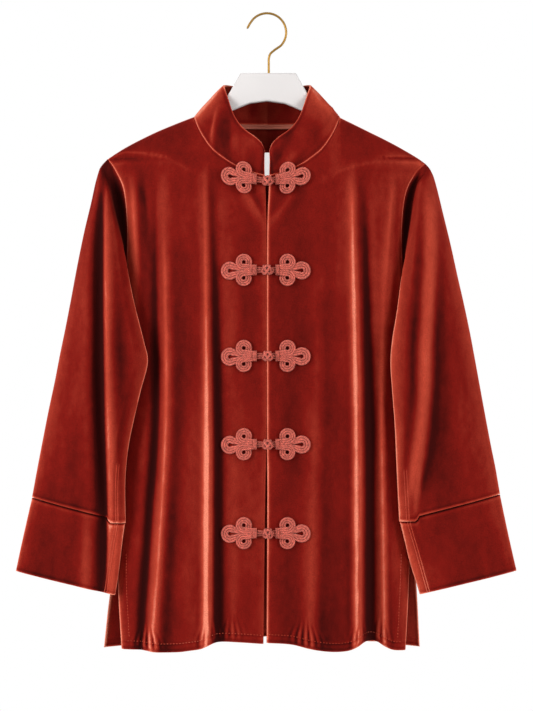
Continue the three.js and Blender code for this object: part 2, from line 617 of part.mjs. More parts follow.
function frogHalf(frog, halfName) {
  const half = frogHalves[halfName];
  const neck = new THREE.Shape();
  neck.moveTo(half.neckFrom, -half.neckHalf);
  neck.lineTo(half.neckTo, -half.neckHalf - 1);
  neck.lineTo(half.neckTo + 16, 0);
  neck.lineTo(half.neckTo, half.neckHalf + 1);
  neck.lineTo(half.neckFrom, half.neckHalf);
  let solid = braidPlate(neck);
  const loops = half.loops.map(loopPlate);
  for (const loop of loops) solid = solid.add(loop.plate);
  for (const loop of loops) solid = solid.subtract(loop.plug);
  const geometry = fromManifold(solid);
  const sideName = half.sign < 0 ? 'right' : 'left';
  const off = halfCloth + frog[halfName];
  const position = geometry.attributes.position;
  const warped = [];
  for (let i = 0; i < position.count; i += 1) {
    const out = position.getX(i);
    const up = position.getY(i) + out * frog.tilt;
    warped.push(onFrontFacets(sideName, out, frog.z + up, off + position.getZ(i)));
  }
  const triangles = [];
  for (let i = 0; i < geometry.index.count; i += 3) {
    triangles.push([0, 1, 2].map((k) => geometry.index.getX(i + k)));
  }
  const plate = solidGeometry(warped, triangles);
  if (halfName === 'loop') return plate;
  const ball = new THREE.SphereGeometry(knotRadius, 9, 6);
  const seat = standOut(sideName, 0, frog.z, 'front') + off + knotRadius;
  ball.rotateX(Math.PI / 2).translate(0, -seat, frog.z);
  return fromManifold(toManifold(plate).add(toManifold(ball)));
}

// ---------------------------------------------------------------- hanger and hook

function hangerBody() {
  const upper = (sideName) => {
    const side = sides[sideName];
    const dip = hanger.neckDip.map((p) => ({ x: side.sign * p.out, z: p.z }));
    const arm = [115, 133, 150, 172, 188, hanger.armEnd].map((out) => ({
      x: side.sign * out, z: shoulderHeight(side, out) - hanger.armTop,
    }));
    return [...dip, ...arm];
  };
  const lower = (sideName) => {
    const side = sides[sideName];
    return [hanger.armEnd, 150, 100, 70].map((out, i) => ({
      x: side.sign * (out - (i === 0 ? 2 : 0)),
      z: shoulderHeight(side, out) - mix(hanger.armTaper, 34, clamp((hanger.armEnd - out) / 120, 0, 1)),
    }));
  };
  const c = hanger.centre;
  const archMiddle = { out: hanger.archHalf * 0.5, z: mix(hanger.archFoot, hanger.archPeak, 0.75) };
  const outline = [
    { x: c - hanger.topHalf, z: hanger.top }, { x: c + hanger.topHalf, z: hanger.top },
    { x: c + hanger.cheekHalf, z: hanger.cheek }, ...upper('left'), ...lower('left'),
    { x: hanger.archHalf, z: hanger.archFoot }, { x: archMiddle.out, z: archMiddle.z },
    { x: 0, z: hanger.archPeak },
    { x: -archMiddle.out, z: archMiddle.z }, { x: -hanger.archHalf, z: hanger.archFoot },
    ...lower('right').reverse(), ...upper('right').reverse(), { x: c - hanger.cheekHalf, z: hanger.cheek },
  ];
  const shape = new THREE.Shape(outline.map((p) => new THREE.Vector2(p.x, p.z)));
  const body = new THREE.ExtrudeGeometry(shape, {
    depth: 2 * (hanger.halfDepth - hanger.bevel), bevelEnabled: true, bevelThickness: hanger.bevel,
    bevelSize: hanger.bevel, bevelOffset: -hanger.bevel, bevelSegments: 1,
  });
  body.translate(0, 0, -(hanger.halfDepth - hanger.bevel)).rotateX(Math.PI / 2);
  const boreDepth = hanger.top - hook.stemFoot + 0.4;
  const bore = new THREE.CylinderGeometry(hook.boreRadius, hook.boreRadius, boreDepth + 2, 12);
  bore.rotateX(Math.PI / 2).translate(hook.stemX, 0, hanger.top - boreDepth / 2 + 1);
  return fromManifold(toManifold(body).subtract(toManifold(bore)));
}

function hangerHook() {
  const centre = -hook.ringRadius;
  const radius = hook.ringRadius + hook.wire;
  const points = [v3(hook.tipX, 0, hook.tipZ)];
  const arcSteps = 20;
  for (let i = 0; i <= arcSteps; i += 1) {
    const angle = THREE.MathUtils.degToRad(mix(hook.ringStart, hook.bendAngle, i / arcSteps));
    points.push(v3(radius * Math.cos(angle), 0, centre + radius * Math.sin(angle)));
  }
  points.push(v3(9.5, 0, -46.6), v3(4.2, 0, -51.5), v3(hook.stemX + 0.1, 0, -57.5), v3(hook.stemX, 0, -65),
    v3(hook.stemX, 0, -78), v3(hook.stemX, 0, hook.stemFoot));
  const path = new THREE.CatmullRomCurve3(points, false, 'centripetal');
  const section = new THREE.Shape();
  section.absarc(0, 0, hook.wire, 0, Math.PI * 2);
  return new THREE.ExtrudeGeometry(section, {
    extrudePath: path, steps: 36, curveSegments: 3, bevelEnabled: false,
  });
}

// ---------------------------------------------------------------- assembly

const velvet = new THREE.MeshStandardMaterial({ color: 0x96201a, roughness: 0.9, metalness: 0 });
const braid = new THREE.MeshStandardMaterial({ color: 0xc25548, roughness: 0.8, metalness: 0 });
const tapeCloth = new THREE.MeshStandardMaterial({ color: 0xd8907a, roughness: 0.85, metalness: 0 });
const labelCloth = new THREE.MeshStandardMaterial({ color: 0xf2f0ec, roughness: 0.9, metalness: 0 });
const whitePlastic = new THREE.MeshStandardMaterial({ color: 0xecebe8, roughness: 0.5, metalness: 0 });
const brass = new THREE.MeshStandardMaterial({ color: 0xb88e42, roughness: 0.3, metalness: 1 });

const jacket = new THREE.Group();
function place(name, geometry, material) {
  const mesh = new THREE.Mesh(geometry, material);
  mesh.name = name;
  jacket.add(mesh);
}

for (const sideName of Object.keys(sides)) {
  place(`front_${sideName}`, frontPanel(sideName), velvet);
  place(`sleeve_${sideName}`, sleevePiece(sideName), velvet);
  place(`cuff_${sideName}`, cuffPiece(sideName), velvet);
}
place('back', backPanel(), velvet);
place('collar', collarPiece(), velvet);
place('neck_tape', neckTape(), tapeCloth);
place('neck_label', neckLabel(), labelCloth);
frogs.forEach((frog, i) => {
  for (const halfName of Object.keys(frogHalves)) {
    place(`frog_${i + 1}_${halfName}`, frogHalf(frog, halfName), braid);
  }
});
place('hanger_body', hangerBody(), whitePlastic);
place('hanger_hook', hangerHook(), brass);

export default jacket;
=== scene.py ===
"""A velvet jacket with a stand collar and frog fastenings, hung flat on its hanger.

Tables are in millimetres, and meshes are made in metres. +X is to the wearer's left, +Y to the
wearer's back and +Z up. The origin is the inside top of the hanger's hook. A distance called
"out" is measured from the centre line, and is positive on both sides.
"""

import math

import bmesh
import bpy
import numpy
from bpy.props import FloatProperty, FloatVectorProperty, IntProperty, PointerProperty
from bpy.types import Operator, Panel, PropertyGroup
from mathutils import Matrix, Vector, noise


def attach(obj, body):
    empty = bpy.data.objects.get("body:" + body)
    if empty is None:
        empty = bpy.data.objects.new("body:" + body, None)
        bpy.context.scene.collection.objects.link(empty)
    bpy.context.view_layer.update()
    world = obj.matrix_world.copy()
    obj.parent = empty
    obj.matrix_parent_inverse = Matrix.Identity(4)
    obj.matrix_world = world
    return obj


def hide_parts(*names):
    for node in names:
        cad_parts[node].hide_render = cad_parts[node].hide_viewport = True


bl_info = {
    "name": "Velvet Jacket With Frog Fastenings",
    "version": (1, 0, 0),
    "blender": (4, 5, 0),
    "location": "3D View > Sidebar > Jacket",
    "description": "Builds a hung velvet jacket, its braided frogs, its hanger and a soft studio",
    "category": "Object",
}

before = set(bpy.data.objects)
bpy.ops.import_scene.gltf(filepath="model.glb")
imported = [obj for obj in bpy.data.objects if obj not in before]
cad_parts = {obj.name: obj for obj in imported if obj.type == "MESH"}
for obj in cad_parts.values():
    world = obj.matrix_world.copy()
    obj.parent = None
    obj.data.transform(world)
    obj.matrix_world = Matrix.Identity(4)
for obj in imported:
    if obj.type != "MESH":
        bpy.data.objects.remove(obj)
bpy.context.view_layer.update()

MM = 0.001
WELD = 0.00002
RIGHT, LEFT = "right", "left"
FRONT, BACK = "front", "back"

# ------------------------------------------------------------------ the cut of the body

SIGN = {RIGHT: -1, LEFT: 1}
NECK_OUT = 94.5
SHOULDER = {
    RIGHT: [(94.5, -134), (120, -144), (147, -155.5), (182, -173.3), (207, -189)],
    LEFT: [(94.5, -135), (125, -150), (162, -168.5), (193, -186.2), (205, -194.5)],
}
SIDE_LINE = {
    RIGHT: [(-189, 207), (-203, 197), (-229, 185), (-284, 180), (-334, 181), (-380, 184),
            (-425, 188), (-500, 192), (-600, 194), (-700, 193.5), (-750, 192.5), (-824, 188)],
    LEFT: [(-194.5, 205), (-207, 192.5), (-228, 180.5), (-262, 174.5), (-312, 173.5),
           (-370, 177), (-425, 182), (-500, 187), (-600, 188), (-700, 185), (-750, 183),
           (-825, 179)],
}
HEM = {
    RIGHT: [(4, -813.5), (35, -811.5), (60, -811), (73, -813.5), (84, -819.5), (98, -822.5),
            (115, -825), (138, -825.5), (165, -823.5), (188, -823.5)],
    LEFT: [(-1, -812), (30, -814), (54, -819.6), (75, -823.4), (93, -824), (108, -821.5),
           (121, -813.8), (131, -811.2), (142, -812.6), (151, -818), (162, -823.4), (179, -825)],
}
BACK_BELOW_VENT = {
    RIGHT: [(-700, 193.5), (-757, 205), (-825, 213)],
    LEFT: [(-700, 185), (-727, 193), (-825, 199.5)],
}
FRONT_NECK = [(0, -213), (25, -206.5), (43, -198), (56, -189), (71, -176), (84.5, -156),
              (94.5, -134)]
BACK_NECK = [(0, -140.5), (40, -140), (72, -138), (94.5, -134)]
BACK_HEM = [(0, -813), (60, -815), (130, -819), (213, -825)]
OPENING_MIDDLE = [(-134, 0.3), (-213, 0.3), (-285, -0.2), (-550, -0.4), (-620, -0.9),
                  (-830, -2.7)]
OPENING_GAP = [(-134, 5.4), (-213, 5.2), (-285, 0.8), (-550, 0.8), (-620, 2.8), (-830, 4.3)]
UNDERARM, VENT_TOP = -425, -700
# The side seam: its middle, and how far from there it is still sewn, and is free.
SIDE_SEAM_MIDDLE, SIDE_SEWN, SIDE_FREE = -562, 137, 150
# How much painted highlight each border's turned edge gets.
ALL_BORDER_LIGHT = {"left": 1.3, "right": 1.3, "top": 1.3, "foot": 1.1}
FRONT_BORDER_LIGHT = {"left": 0.5, "right": 1.3, "top": 1.3, "foot": 1.1}
HEM_HEIGHT = -818

# How far the cloth stands from the hanger's plane: on the centre line, and at the armholes.
MIDDLE_DEPTH = {
    FRONT: [(-134, 37), (-220, 39), (-330, 40), (-520, 37), (-680, 35), (-830, 34)],
    BACK: [(-134, 30), (-220, 34), (-330, 38), (-520, 38), (-680, 37), (-830, 36)],
}
RIM_DEPTH = {
    FRONT: [(-189, 0.8), (-196, 6), (-215, 12), (-260, 15), (-330, 14), (-390, 8), (-425, 0.8),
            (-690, 0.8), (-715, 3), (-760, 6), (-830, 9)],
    BACK: [(-189, 0.8), (-196, 7), (-215, 14), (-260, 19), (-330, 19), (-390, 12),
           (-425, 0.8), (-690, 0.8), (-715, 9), (-760, 15), (-830, 19)],
}
SEAM_DEPTH = 0.8
ARM_RADIUS = 8
CHEST_RISE = 45

# Long folds: distance out at chest, waist and hem, half width, and height at the same three.
FOLD_HEIGHTS = (-250, -530, -820)
FOLDS = {
    (FRONT, RIGHT): [
        (78, 74.5, 75, 8, 3, 7, 9), (63, 58, 56, 12, -0.3, -1, -1.5),
        (129, 128, 147, 12, 0.3, 2.5, 5.5), (144, 143, 163, 8, -1.5, -5, -5.5),
        (172, 168, 170, 8, 6, 0, 0)],
    (FRONT, LEFT): [
        (112, 117, 118, 8, 3, 7.5, 9), (127, 134, 135, 9, -1, -6.5, -8),
        (151, 149, 154, 5, 0.3, 1.8, 3), (70, 66, 58, 12, 0.3, 1.8, 3),
        (163, 150, 150, 6, 3, 0, 0)],
    (BACK, RIGHT): [
        (150, 140, 138, 16, 3, 8, 12), (110, 104, 98, 12, -2, -5, -8), (60, 58, 52, 15, 1, 5, 9),
        (20, 18, 14, 13, 0, -2, -5)],
    (BACK, LEFT): [
        (148, 146, 150, 14, 3, 7, 11), (116, 112, 112, 12, -2, -5, -7),
        (74, 72, 70, 16, 2, 6, 8), (34, 30, 30, 13, 0, -3, -4)],
}

# Finer creases: the line they follow as (height, out), the half widths towards the centre and
# away from it, and (height, how far they stand out) along the line.
CREASES = {
    (FRONT, RIGHT): [
        ([(-200, 80), (-500, 75), (-820, 76)], 5, 26, [(-200, 0), (-270, 2.5), (-820, 5)]),
        ([(-300, 130), (-500, 128), (-700, 137), (-820, 147)], 12, 4,
         [(-270, 0), (-350, 1), (-500, 1.6), (-820, 1.6)]),
        ([(-215, 174), (-300, 168), (-380, 160)], 6, 3, [(-215, 0), (-250, 1.8), (-380, 0)]),
        ([(-200, 160), (-330, 150)], 5, 5, [(-200, 0), (-250, -1.2), (-330, 0)]),
        ([(-232, 26), (-278, 2)], 6, 9, [(-226, 0), (-238, 1.4), (-262, 1.2), (-284, 0)]),
        ([(-300, 34), (-450, 44)], 14, 12, [(-280, 0), (-380, 0.6), (-480, 0)]),
        ([(-600, 40), (-820, 44)], 12, 14, [(-520, 0), (-700, 0.7), (-820, 0.4)]),
    ],
    (FRONT, LEFT): [
        ([(-250, 109), (-500, 116), (-820, 117)], 26, 4, [(-230, 0), (-350, 2.5), (-820, 4)]),
        ([(-235, 160), (-300, 156), (-390, 150)], 6, 3, [(-235, 0), (-280, 1.4), (-390, 0)]),
        ([(-232, 38), (-278, 6)], 8, 10, [(-226, 0), (-240, 1.7), (-264, 1.5), (-284, 0)]),
        ([(-480, 16), (-820, 12)], 14, 14, [(-420, 0), (-560, 0.7), (-820, 0.3)]),
    ],
    (BACK, RIGHT): [
        ([(-250, 128), (-820, 122)], 6, 10, [(-230, 0), (-500, 1.5), (-820, 2.4)]),
        ([(-230, 80), (-820, 76)], 10, 6, [(-220, 0), (-500, -1.4), (-820, -2)]),
        ([(-215, 170), (-330, 158)], 6, 4, [(-215, 0), (-260, 1.5), (-340, 0)]),
    ],
    (BACK, LEFT): [
        ([(-250, 132), (-820, 130)], 9, 6, [(-230, 0), (-500, 1.4), (-820, 2.2)]),
        ([(-230, 54), (-820, 50)], 6, 9, [(-220, 0), (-500, -1.2), (-820, -2)]),
        ([(-230, 160), (-330, 152)], 6, 4, [(-225, 0), (-270, 1.4), (-340, 0)]),
    ],
}

# Puckers where the hem's stitching has drawn the cloth in: middle, half width, height.
PUCKERS = {
    (FRONT, RIGHT): [(74, 11, 1.3), (154, 11, 1.9), (46, 12, 0.35)],
    (FRONT, LEFT): [(50, 15, 0.8), (118, 8, 1.4), (148, 8, 1.1)],
    (BACK, RIGHT): [(138, 18, 1.0), (52, 18, 0.8)],
    (BACK, LEFT): [(150, 16, 1.0), (70, 18, 0.8)],
}
PUCKER_PITCH = 7.4
# The height of the turned hem, the width of the vent's facing, and their stitches.
HEM_BAND, FACING = 10.8, 11
STITCH_LENGTH, STITCH_PITCH = 2.4, 3.8
# Half the thickness of the cloth, and how far a trim lies clear of it.
CLOTH_HALF, TRIM_CLEAR = 0.8, 0.6

# How the painted light reads the cloth, a painted highlight on ridges and painted shade in creases:
# reach, columns each way, depth that counts as full, and share.
RELIEF_LIGHT_SCALES = [(3.5, 5, 0.25, 0.38), (13, 16, 2.4, 0.66), (28, 30, 5.5, 0.4)]
# How much painted light falls where the cloth turns to the wearer's right, with painted shade where it
# turns the other way, on the body and on each sleeve.
SIDE_LIGHT = 0.42
SLEEVE_SIDE_LIGHT = {RIGHT: 0.22, LEFT: 0.0}
# The turn is read over this reach and so many columns, and is full at these two slopes.
SIDE_LIGHT_REACH, SIDE_LIGHT_SPAN = 32, 30
SIDE_LIGHT_FULL = (0.18, 0.35)
# How much painted shade darkens the cloth where it faces up, as on the shoulders.
UPWARD_SHADE = 0.45
# The painted light's level at rest on each sleeve, which paints the right sleeve darker than the left,
# and on the cuffs, and the pile's tone at rest all over.
SLEEVE_REST = {RIGHT: -0.2, LEFT: 0.1}
CUFF_REST = -0.1
VELVET_REST = 0.035

# ------------------------------------------------------------------ the cut of the sleeves

# Step, outer edge out and height, inner fold out and height, front, back, forward.
SLEEVE = {
    RIGHT: [
        (0, 206.2, -188.4, 204.5, -190, 3, 3, 0), (1, 214.5, -197, 207, -203, 11, 11, 0),
        (2, 218.5, -204, 206, -214, 16, 16, 0), (3, 223, -223, 202.5, -236, 22, 22, 0),
        (4, 228, -246, 197, -262, 27, 27, 0), (5, 237, -284, 187.3, -300, 32, 33, 0),
        (6, 246, -328, 179, -342, 37, 36, 0), (7, 254, -371, 170, -382, 40, 37, 0),
        (8, 262, -412, 159, -425, 42, 37, 0), (9, 268, -441, 154, -452, 42, 36, 0),
        (10, 275, -477, 163, -488, 39, 34, 0), (11, 283, -515, 172, -525, 35, 31, 1),
        (12, 291, -556, 180, -564, 30, 28, 2), (13, 298, -593, 184, -606, 25, 24, 3),
        (14, 304, -627, 183.5, -658, 19, 20, 5)],
    LEFT: [
        (0, 204.4, -194, 202.8, -195.6, 3, 3, 0), (1, 212, -202, 202, -208, 11, 11, 0),
        (2, 216, -212, 196, -222, 16, 16, 0), (3, 221, -230, 191, -244, 22, 22, 0),
        (4, 228, -259, 187, -272, 28, 28, 0), (5, 237.5, -298, 180.5, -310, 34, 33, 0),
        (6, 247, -341, 173, -352, 38, 36, 0), (7, 255, -376, 168, -386, 40, 37, 0),
        (8, 263, -414, 161.5, -425, 42, 37, 0), (9, 269, -446, 159.5, -454, 42, 36, 0),
        (10, 276, -484, 162, -492, 39, 34, 0), (11, 282.5, -520, 165, -530, 35, 31, 1),
        (12, 290, -560, 167, -571, 30, 28, 2), (13, 296, -590, 169, -612, 25, 24, 3),
        (14, 301.5, -623, 171.5, -656, 19, 20, 5)],
}
CUFF = {
    RIGHT: [(0, 304, -628, 184.5, -659, 17.5, 18.5, 5), (1, 311, -659, 189, -690, 14.5, 16, 6.5),
            (2, 318, -691, 193.5, -722, 12.5, 15, 8),
            (3, 324.5, -722.5, 198, -752.5, 11, 14, 9)],
    LEFT: [(0, 301.5, -624, 172.5, -657, 17.5, 18.5, 5), (1, 308, -656, 181, -690, 14.5, 16, 6.5),
           (2, 315, -689, 190, -722, 12.5, 15, 8), (3, 322.5, -722, 198.5, -751.5, 11, 14, 9)],
}
# The step where the sleeve is closed under the arm, and how far its underarm part kinks down.
UNDERARM_STEP = 8
KINK_AT = 0.155
# A section's keys: how many, the inner fold, the outer edge, and where the two seams run.
SECTION_KEYS, FOLD_KEY, OUTER_KEY = 15, 4, 9
SEAM_KEYS = (4.62, 4.77)
SEAM_PROUD = Vector((0, -0.9, 0))
# Points from key to key, rows from step to step, and rows down a cuff.
SECTION_STEPS, SLEEVE_ROWS, CUFF_ROWS = 13, 11, 44

# Creases of the sleeves, as on the body. Below the cuff seam they run on into the cuffs.
SLEEVE_CREASES = {
    (FRONT, RIGHT): [
        ([(-205, 206), (-372, 204), (-436, 203.3), (-500, 202), (-564, 200.5), (-631, 199)],
         14, 4, [(-200, 0), (-230, 4.5), (-420, 6), (-600, 5), (-650, 1), (-700, 0)]),
        ([(-205, 214), (-372, 213.5), (-500, 212), (-631, 208.5), (-750, 209)], 5, 13,
         [(-205, 0), (-240, -6), (-420, -10), (-600, -9), (-690, -6), (-750, -4)]),
        ([(-560, 194), (-631, 191), (-750, 197)], 4, 4, [(-540, 0), (-610, 1.6), (-750, 1)]),
        ([(-640, 228), (-750, 234)], 14, 10, [(-630, 0), (-690, 2), (-750, 2)]),
    ],
    (FRONT, LEFT): [
        ([(-205, 209), (-312, 208.5), (-371, 205), (-436, 201.5), (-504, 199.5), (-564, 193),
          (-603, 185), (-631, 180)],
         11, 11, [(-200, 0), (-240, 8), (-420, 11), (-600, 9), (-640, 2), (-690, 0)]),
        ([(-590, 195), (-640, 191)], 4, 5, [(-575, 0), (-610, 2), (-650, 0)]),
    ],
    (BACK, RIGHT): [
        ([(-230, 212), (-430, 222), (-640, 232)], 10, 8, [(-220, 0), (-400, 3), (-640, 1.5)]),
        ([(-260, 224), (-430, 238), (-640, 250)], 8, 10, [(-240, 0), (-400, -3), (-640, -2)]),
        ([(-420, 200), (-640, 214)], 8, 8, [(-400, 0), (-520, -2), (-640, -1)]),
    ],
    (BACK, LEFT): [
        ([(-230, 210), (-430, 218), (-640, 224)], 10, 8, [(-220, 0), (-400, 3), (-640, 1.5)]),
        ([(-260, 222), (-430, 234), (-640, 244)], 8, 10, [(-240, 0), (-400, -3), (-640, -2)]),
        ([(-420, 196), (-640, 206)], 8, 8, [(-400, 0), (-520, -2), (-640, -1)]),
    ],
}

# ------------------------------------------------------------------ collar, tape and label

# The collar's upper edge: place along the neck seam, out, depth, height.
COLLAR_FRONT_TOP = [
    (2.9, 3.4, -33, -181), (8, 7, -32.5, -171), (17, 14.3, -31.5, -163.3), (29, 20, -30, -159),
    (42, 26, -28, -154.5), (55, 33.5, -25, -147.5), (69, 42, -19, -134), (82, 49.5, -10, -113),
    (94.5, 56, 1, -92.5)]
COLLAR_BACK_TOP = [
    (94.5, 56, 1, -92.5), (82, 51, 11, -91), (67, 43, 19, -91), (50, 33, 24, -92),
    (33, 22, 27.5, -93), (16, 11, 29, -94), (0, 0, 29.5, -94)]
COLLAR_BULGE = 1.6
COLLAR_LIFT = -0.6
TUCK = 0.9
# Soft drags across the collar's fronts: start and end as x and height, reach, height.
COLLAR_DRAGS = [((-66, -160), (-56, -118), 5, 3.6), ((46, -171), (70, -138), 8, 4),
                ((-48, -135), (-46, -110), 7, -2), ((36, -140), (44, -118), 9, -2)]

TAPE_HALF, TAPE_BELOW, TAPE_HEIGHT = 78, 1, 5.5
LABEL_HALF, LABEL_TOP, LABEL_FOOT = 16, -177, -211

# ------------------------------------------------------------------ frogs

# Height, how much the frog is tilted, where its knot lies, and how much further off it stands.
FROGS = [(-220, 0.15, 0.4, 1.3), (-334, 0, -0.4, 0), (-444, 0, 0.6, 0), (-557, 0, 0.6, 0),
         (-671, 0, 1.0, 0)]
# Loops as out, up and outer radius. The first one is the outer loop.
FROG_LOOPS = {
    "knot": [(47.5, -1, 11.6), (29.6, 10.2, 10.4), (29.8, -10.3, 10.2)],
    "loop": [(44.3, -0.5, 11.6), (26.2, 10.2, 10.4), (26, -10.2, 10.2)],
}
FROG_SIDE = {"knot": RIGHT, "loop": LEFT}
BAND_OUT = {"knot": 15.6, "loop": 13.2}
BAND_HALF, BAND_CORDS, BAND_PITCH = 6.1, 3, 1.6
NECK_FROM = {"knot": 3.0, "loop": 4.6}
CORD_COUNT = 3
CORD_HEIGHT = 2.7
HOLE = 2.3
KNOT_RADIUS = 7.2

# ------------------------------------------------------------------ hanger

HANGER_MIDDLE, HANGER_TOP_HALF, HANGER_TOP = 1.5, 36, -76.6
HANGER_CHEEK = (50, -101.5)
HANGER_ARCH = [(45, -125), (22.5, -116), (0, -113)]
HANGER_HALF_DEPTH, HANGER_BEVEL = 5, 2.5
HANGER_DIP = [(64, -122), (79, -139), (95, -144)]
HANGER_ARM = [115, 133, 150, 172, 188, 196]
HOOK_WIRE, HOOK_RING = 1.5, 23.4
HOOK_STEM = [(9.5, -46.6), (4.2, -51.5), (2.4, -57.5), (2.3, -65), (2.3, -78), (2.3, -92)]
HOOK_FROM, HOOK_TO = 150, -42
HOOK_TIP = (-26.1, -18.9)

# ------------------------------------------------------------------ studio

LAMPS = [
    ("left softbox", (-1.9, -1.2, 0.1), (0.8, 1.8), 54),
    ("right softbox", (1.9, -1.3, 0.0), (0.8, 1.8), 40),
    ("top softbox", (0, -1.6, 1.4), (1.4, 0.7), 5),
    ("back softbox", (0, 2.2, 0.5), (2.0, 1.4), 30),
]
LAMPS_AIM = (0, 0, -0.45)
CAMERA_X, CAMERA_Z, CAMERA_LENS, CAMERA_SENSOR = -0.00065, -0.4434, 101.27, 36
FLOOR_RADIUS, FLOOR_Z = 1.15, -1.25
SEEN_STRENGTH, CAST_STRENGTH = 1.0, 0.28

VELVET_NAME, BRAID_NAME = "rust red velvet", "salmon rust braid"


# ------------------------------------------------------------------ small helpers


def mix(a, b, t):
    return a + (b - a) * t


def clamp(value, low=0.0, high=1.0):
    return min(high, max(low, value))


def smooth(value, low, high):
    t = clamp((value - low) / (high - low))
    return t * t * (3 - 2 * t)


def read(rows, at, column=1):
    """A smooth value from a table whose first column runs one way."""
    last = len(rows) - 1
    rising = 1 if rows[last][0] > rows[0][0] else -1
    if (at - rows[0][0]) * rising <= 0:
        return rows[0][column]
    if (at - rows[last][0]) * rising >= 0:
        return rows[last][column]
    i = 0
    while (at - rows[i + 1][0]) * rising > 0:
        i += 1
    before, start, end, after = rows[max(i - 1, 0)], rows[i], rows[i + 1], rows[min(i + 2, last)]
    span = end[0] - start[0]
    t = (at - start[0]) / span
    slope_in = span * (end[column] - before[column]) / (end[0] - before[0])
    slope_out = span * (after[column] - start[column]) / (after[0] - start[0])
    rise = end[column] - start[column]
    return start[column] + t * (
        slope_in + t * ((3 * rise - 2 * slope_in - slope_out) + t * (slope_in + slope_out - 2 * rise))
    )


def spline(points, steps):
    """Points on a smooth line through the given points, with `steps` to each span."""
    ends = [points[0] * 2 - points[1], *points, points[-1] * 2 - points[-2]]
    line = []
    for i in range(len(points) - 1):
        p0, p1, p2, p3 = ends[i : i + 4]
        d0, d1, d2 = (max((b - a).length ** 0.5, 1e-4) for a, b in ((p0, p1), (p1, p2), (p2, p3)))
        t1 = ((p1 - p0) / d0 - (p2 - p0) / (d0 + d1) + (p2 - p1) / d1) * d1
        t2 = ((p2 - p1) / d1 - (p3 - p1) / (d1 + d2) + (p3 - p2) / d2) * d1
        for step in range(steps):
            t = step / steps
            line.append(
                p1 + t1 * t + (p2 * 3 - p1 * 3 - t1 * 2 - t2) * t**2
                + (p1 * 2 - p2 * 2 + t1 + t2) * t**3
            )
    line.append(points[-1].copy())
    return line


def waves(place, size, seed):
    """Soft uneven waves from -1 to 1, longer down the cloth than across it."""
    return noise.noise(Vector((place[0] / size, place[1] / size, place[2] / (size * 3) + seed)))


def crease(line, towards, away, heights, out, z):
    """How far one crease moves the cloth at a place."""
    tall = read(heights, z)
    if abs(tall) < 0.01 or z > heights[0][0]:
        return 0.0
    aside = out - read(line, z)
    width = away if aside > 0 else towards
    return tall * math.exp(-((aside / width) ** 2)) if abs(aside) < 3 * width else 0.0


# ------------------------------------------------------------------ the body's surfaces


def shoulder_height(side, out):
    line = SHOULDER[side]
    if out < line[0][0]:
        return line[0][1] + (line[0][0] - out) * 0.42
    return read(line, out)


def edge_out(side, z, face):
    if face == FRONT or z > VENT_TOP:
        return read(SIDE_LINE[side], z)
    return read(BACK_BELOW_VENT[side], z)


def fold_at(fold, out, z):
    chest, waist, hem = FOLD_HEIGHTS
    upper = mix(fold[1], fold[0], (z - waist) / (chest - waist))
    lower = mix(fold[2], fold[1], (z - hem) / (waist - hem))
    middle = mix(lower, upper, smooth(z, waist - 120, waist + 120))
    away = (out - middle) / fold[3]
    if abs(away) > 3:
        return 0.0
    tall = read([(chest + 60, 0), (chest, fold[4]), (waist, fold[5]), (hem, fold[6])], z)
    return tall * math.exp(-away * away)


def plain_hang(side, out, z, face):
    """The cloth's depth without folds there and on the centre line, its looseness and long folds."""
    share = clamp(abs(out) / edge_out(side, z, face))
    rim, middle = read(RIM_DEPTH[face], z), read(MIDDLE_DEPTH[face], z)
    full = rim + (middle - rim) * (1 - share * share) ** 0.75
    return full, middle, 1 - share**8, sum(fold_at(fold, out, z) for fold in FOLDS[face, side])


def plain_stand_out(side, out, z):
    """The front's depth without its finer creases, which the sleeve's fold lies over."""
    full, _, loose, folds = plain_hang(side, out, z, FRONT)
    return max(full, SEAM_DEPTH) + loose * folds


def stand_out(side, out, z, face):
    """How far the cloth stands from the hanger's plane at a place on half of a panel."""
    full, middle, loose, folds = plain_hang(side, out, z, face)
    drop = max(shoulder_height(side, abs(out)) - z, 0.0)
    over_arm = ARM_RADIUS * math.sqrt(1 - (1 - min(drop, ARM_RADIUS) / ARM_RADIUS) ** 2)
    carried = SEAM_DEPTH + over_arm + (middle - ARM_RADIUS) * (1 - math.exp(-drop / CHEST_RISE))
    loose *= smooth(drop, 10, 90)
    fine = sum(crease(*one, out, z) for one in CREASES[face, side])
    seed = 3 if face == FRONT else 8
    fine += 0.5 * waves((out * SIGN[side], 0, z), 30, seed) * smooth(drop, 10, 60)
    fine *= bpy.context.scene.jacket_sizes.fold_depth
    return max(min(full, carried), SEAM_DEPTH) + loose * (folds + fine)


def on_panel(side, out, z, face, off=0.0):
    way = -1 if face == FRONT else 1
    return Vector((SIGN[side] * out, way * (stand_out(side, out, z, face) + off), z))


def opening_edge(side, z):
    return SIGN[side] * read(OPENING_MIDDLE, z) + read(OPENING_GAP, z) / 2


def hem_relief(face, side, out, above):
    """The turned hem: a stitched groove, a full band under it, and puckers along it."""
    if above > 60:
        return 0.0
    groove = -0.9 * math.exp(-(((above - HEM_BAND) / 1.5) ** 2))
    band = 0.5 * smooth(above, 0, 3) * (1 - smooth(above, HEM_BAND - 3, HEM_BAND))
    drawn = 0.0
    fan = 1.15 - 0.5 * smooth(above, HEM_BAND - 4, HEM_BAND + 26)
    for middle, half, height in PUCKERS[face, side]:
        near = math.exp(-(((out - middle) / (half * fan)) ** 2))
        wave = math.cos(2 * math.pi * (out - middle) / (PUCKER_PITCH * fan) + middle)
        reach = math.exp(-(((above - HEM_BAND) / (15 if above > HEM_BAND else 7)) ** 2))
        drawn += height * near * wave * reach
    return groove + band + drawn


def roll(distance, depth=1.5, reach=1.5):
    """How far a turned edge curls back at a distance from its very edge."""
    return -depth * math.exp(-((distance / reach) ** 2)) if distance < 6 * reach else 0.0


def free_side(z):
    """How free a side edge is: 0 where it is sewn, 1 at the armhole and at the vent."""
    return smooth(abs(z - SIDE_SEAM_MIDDLE), SIDE_SEWN, SIDE_FREE)


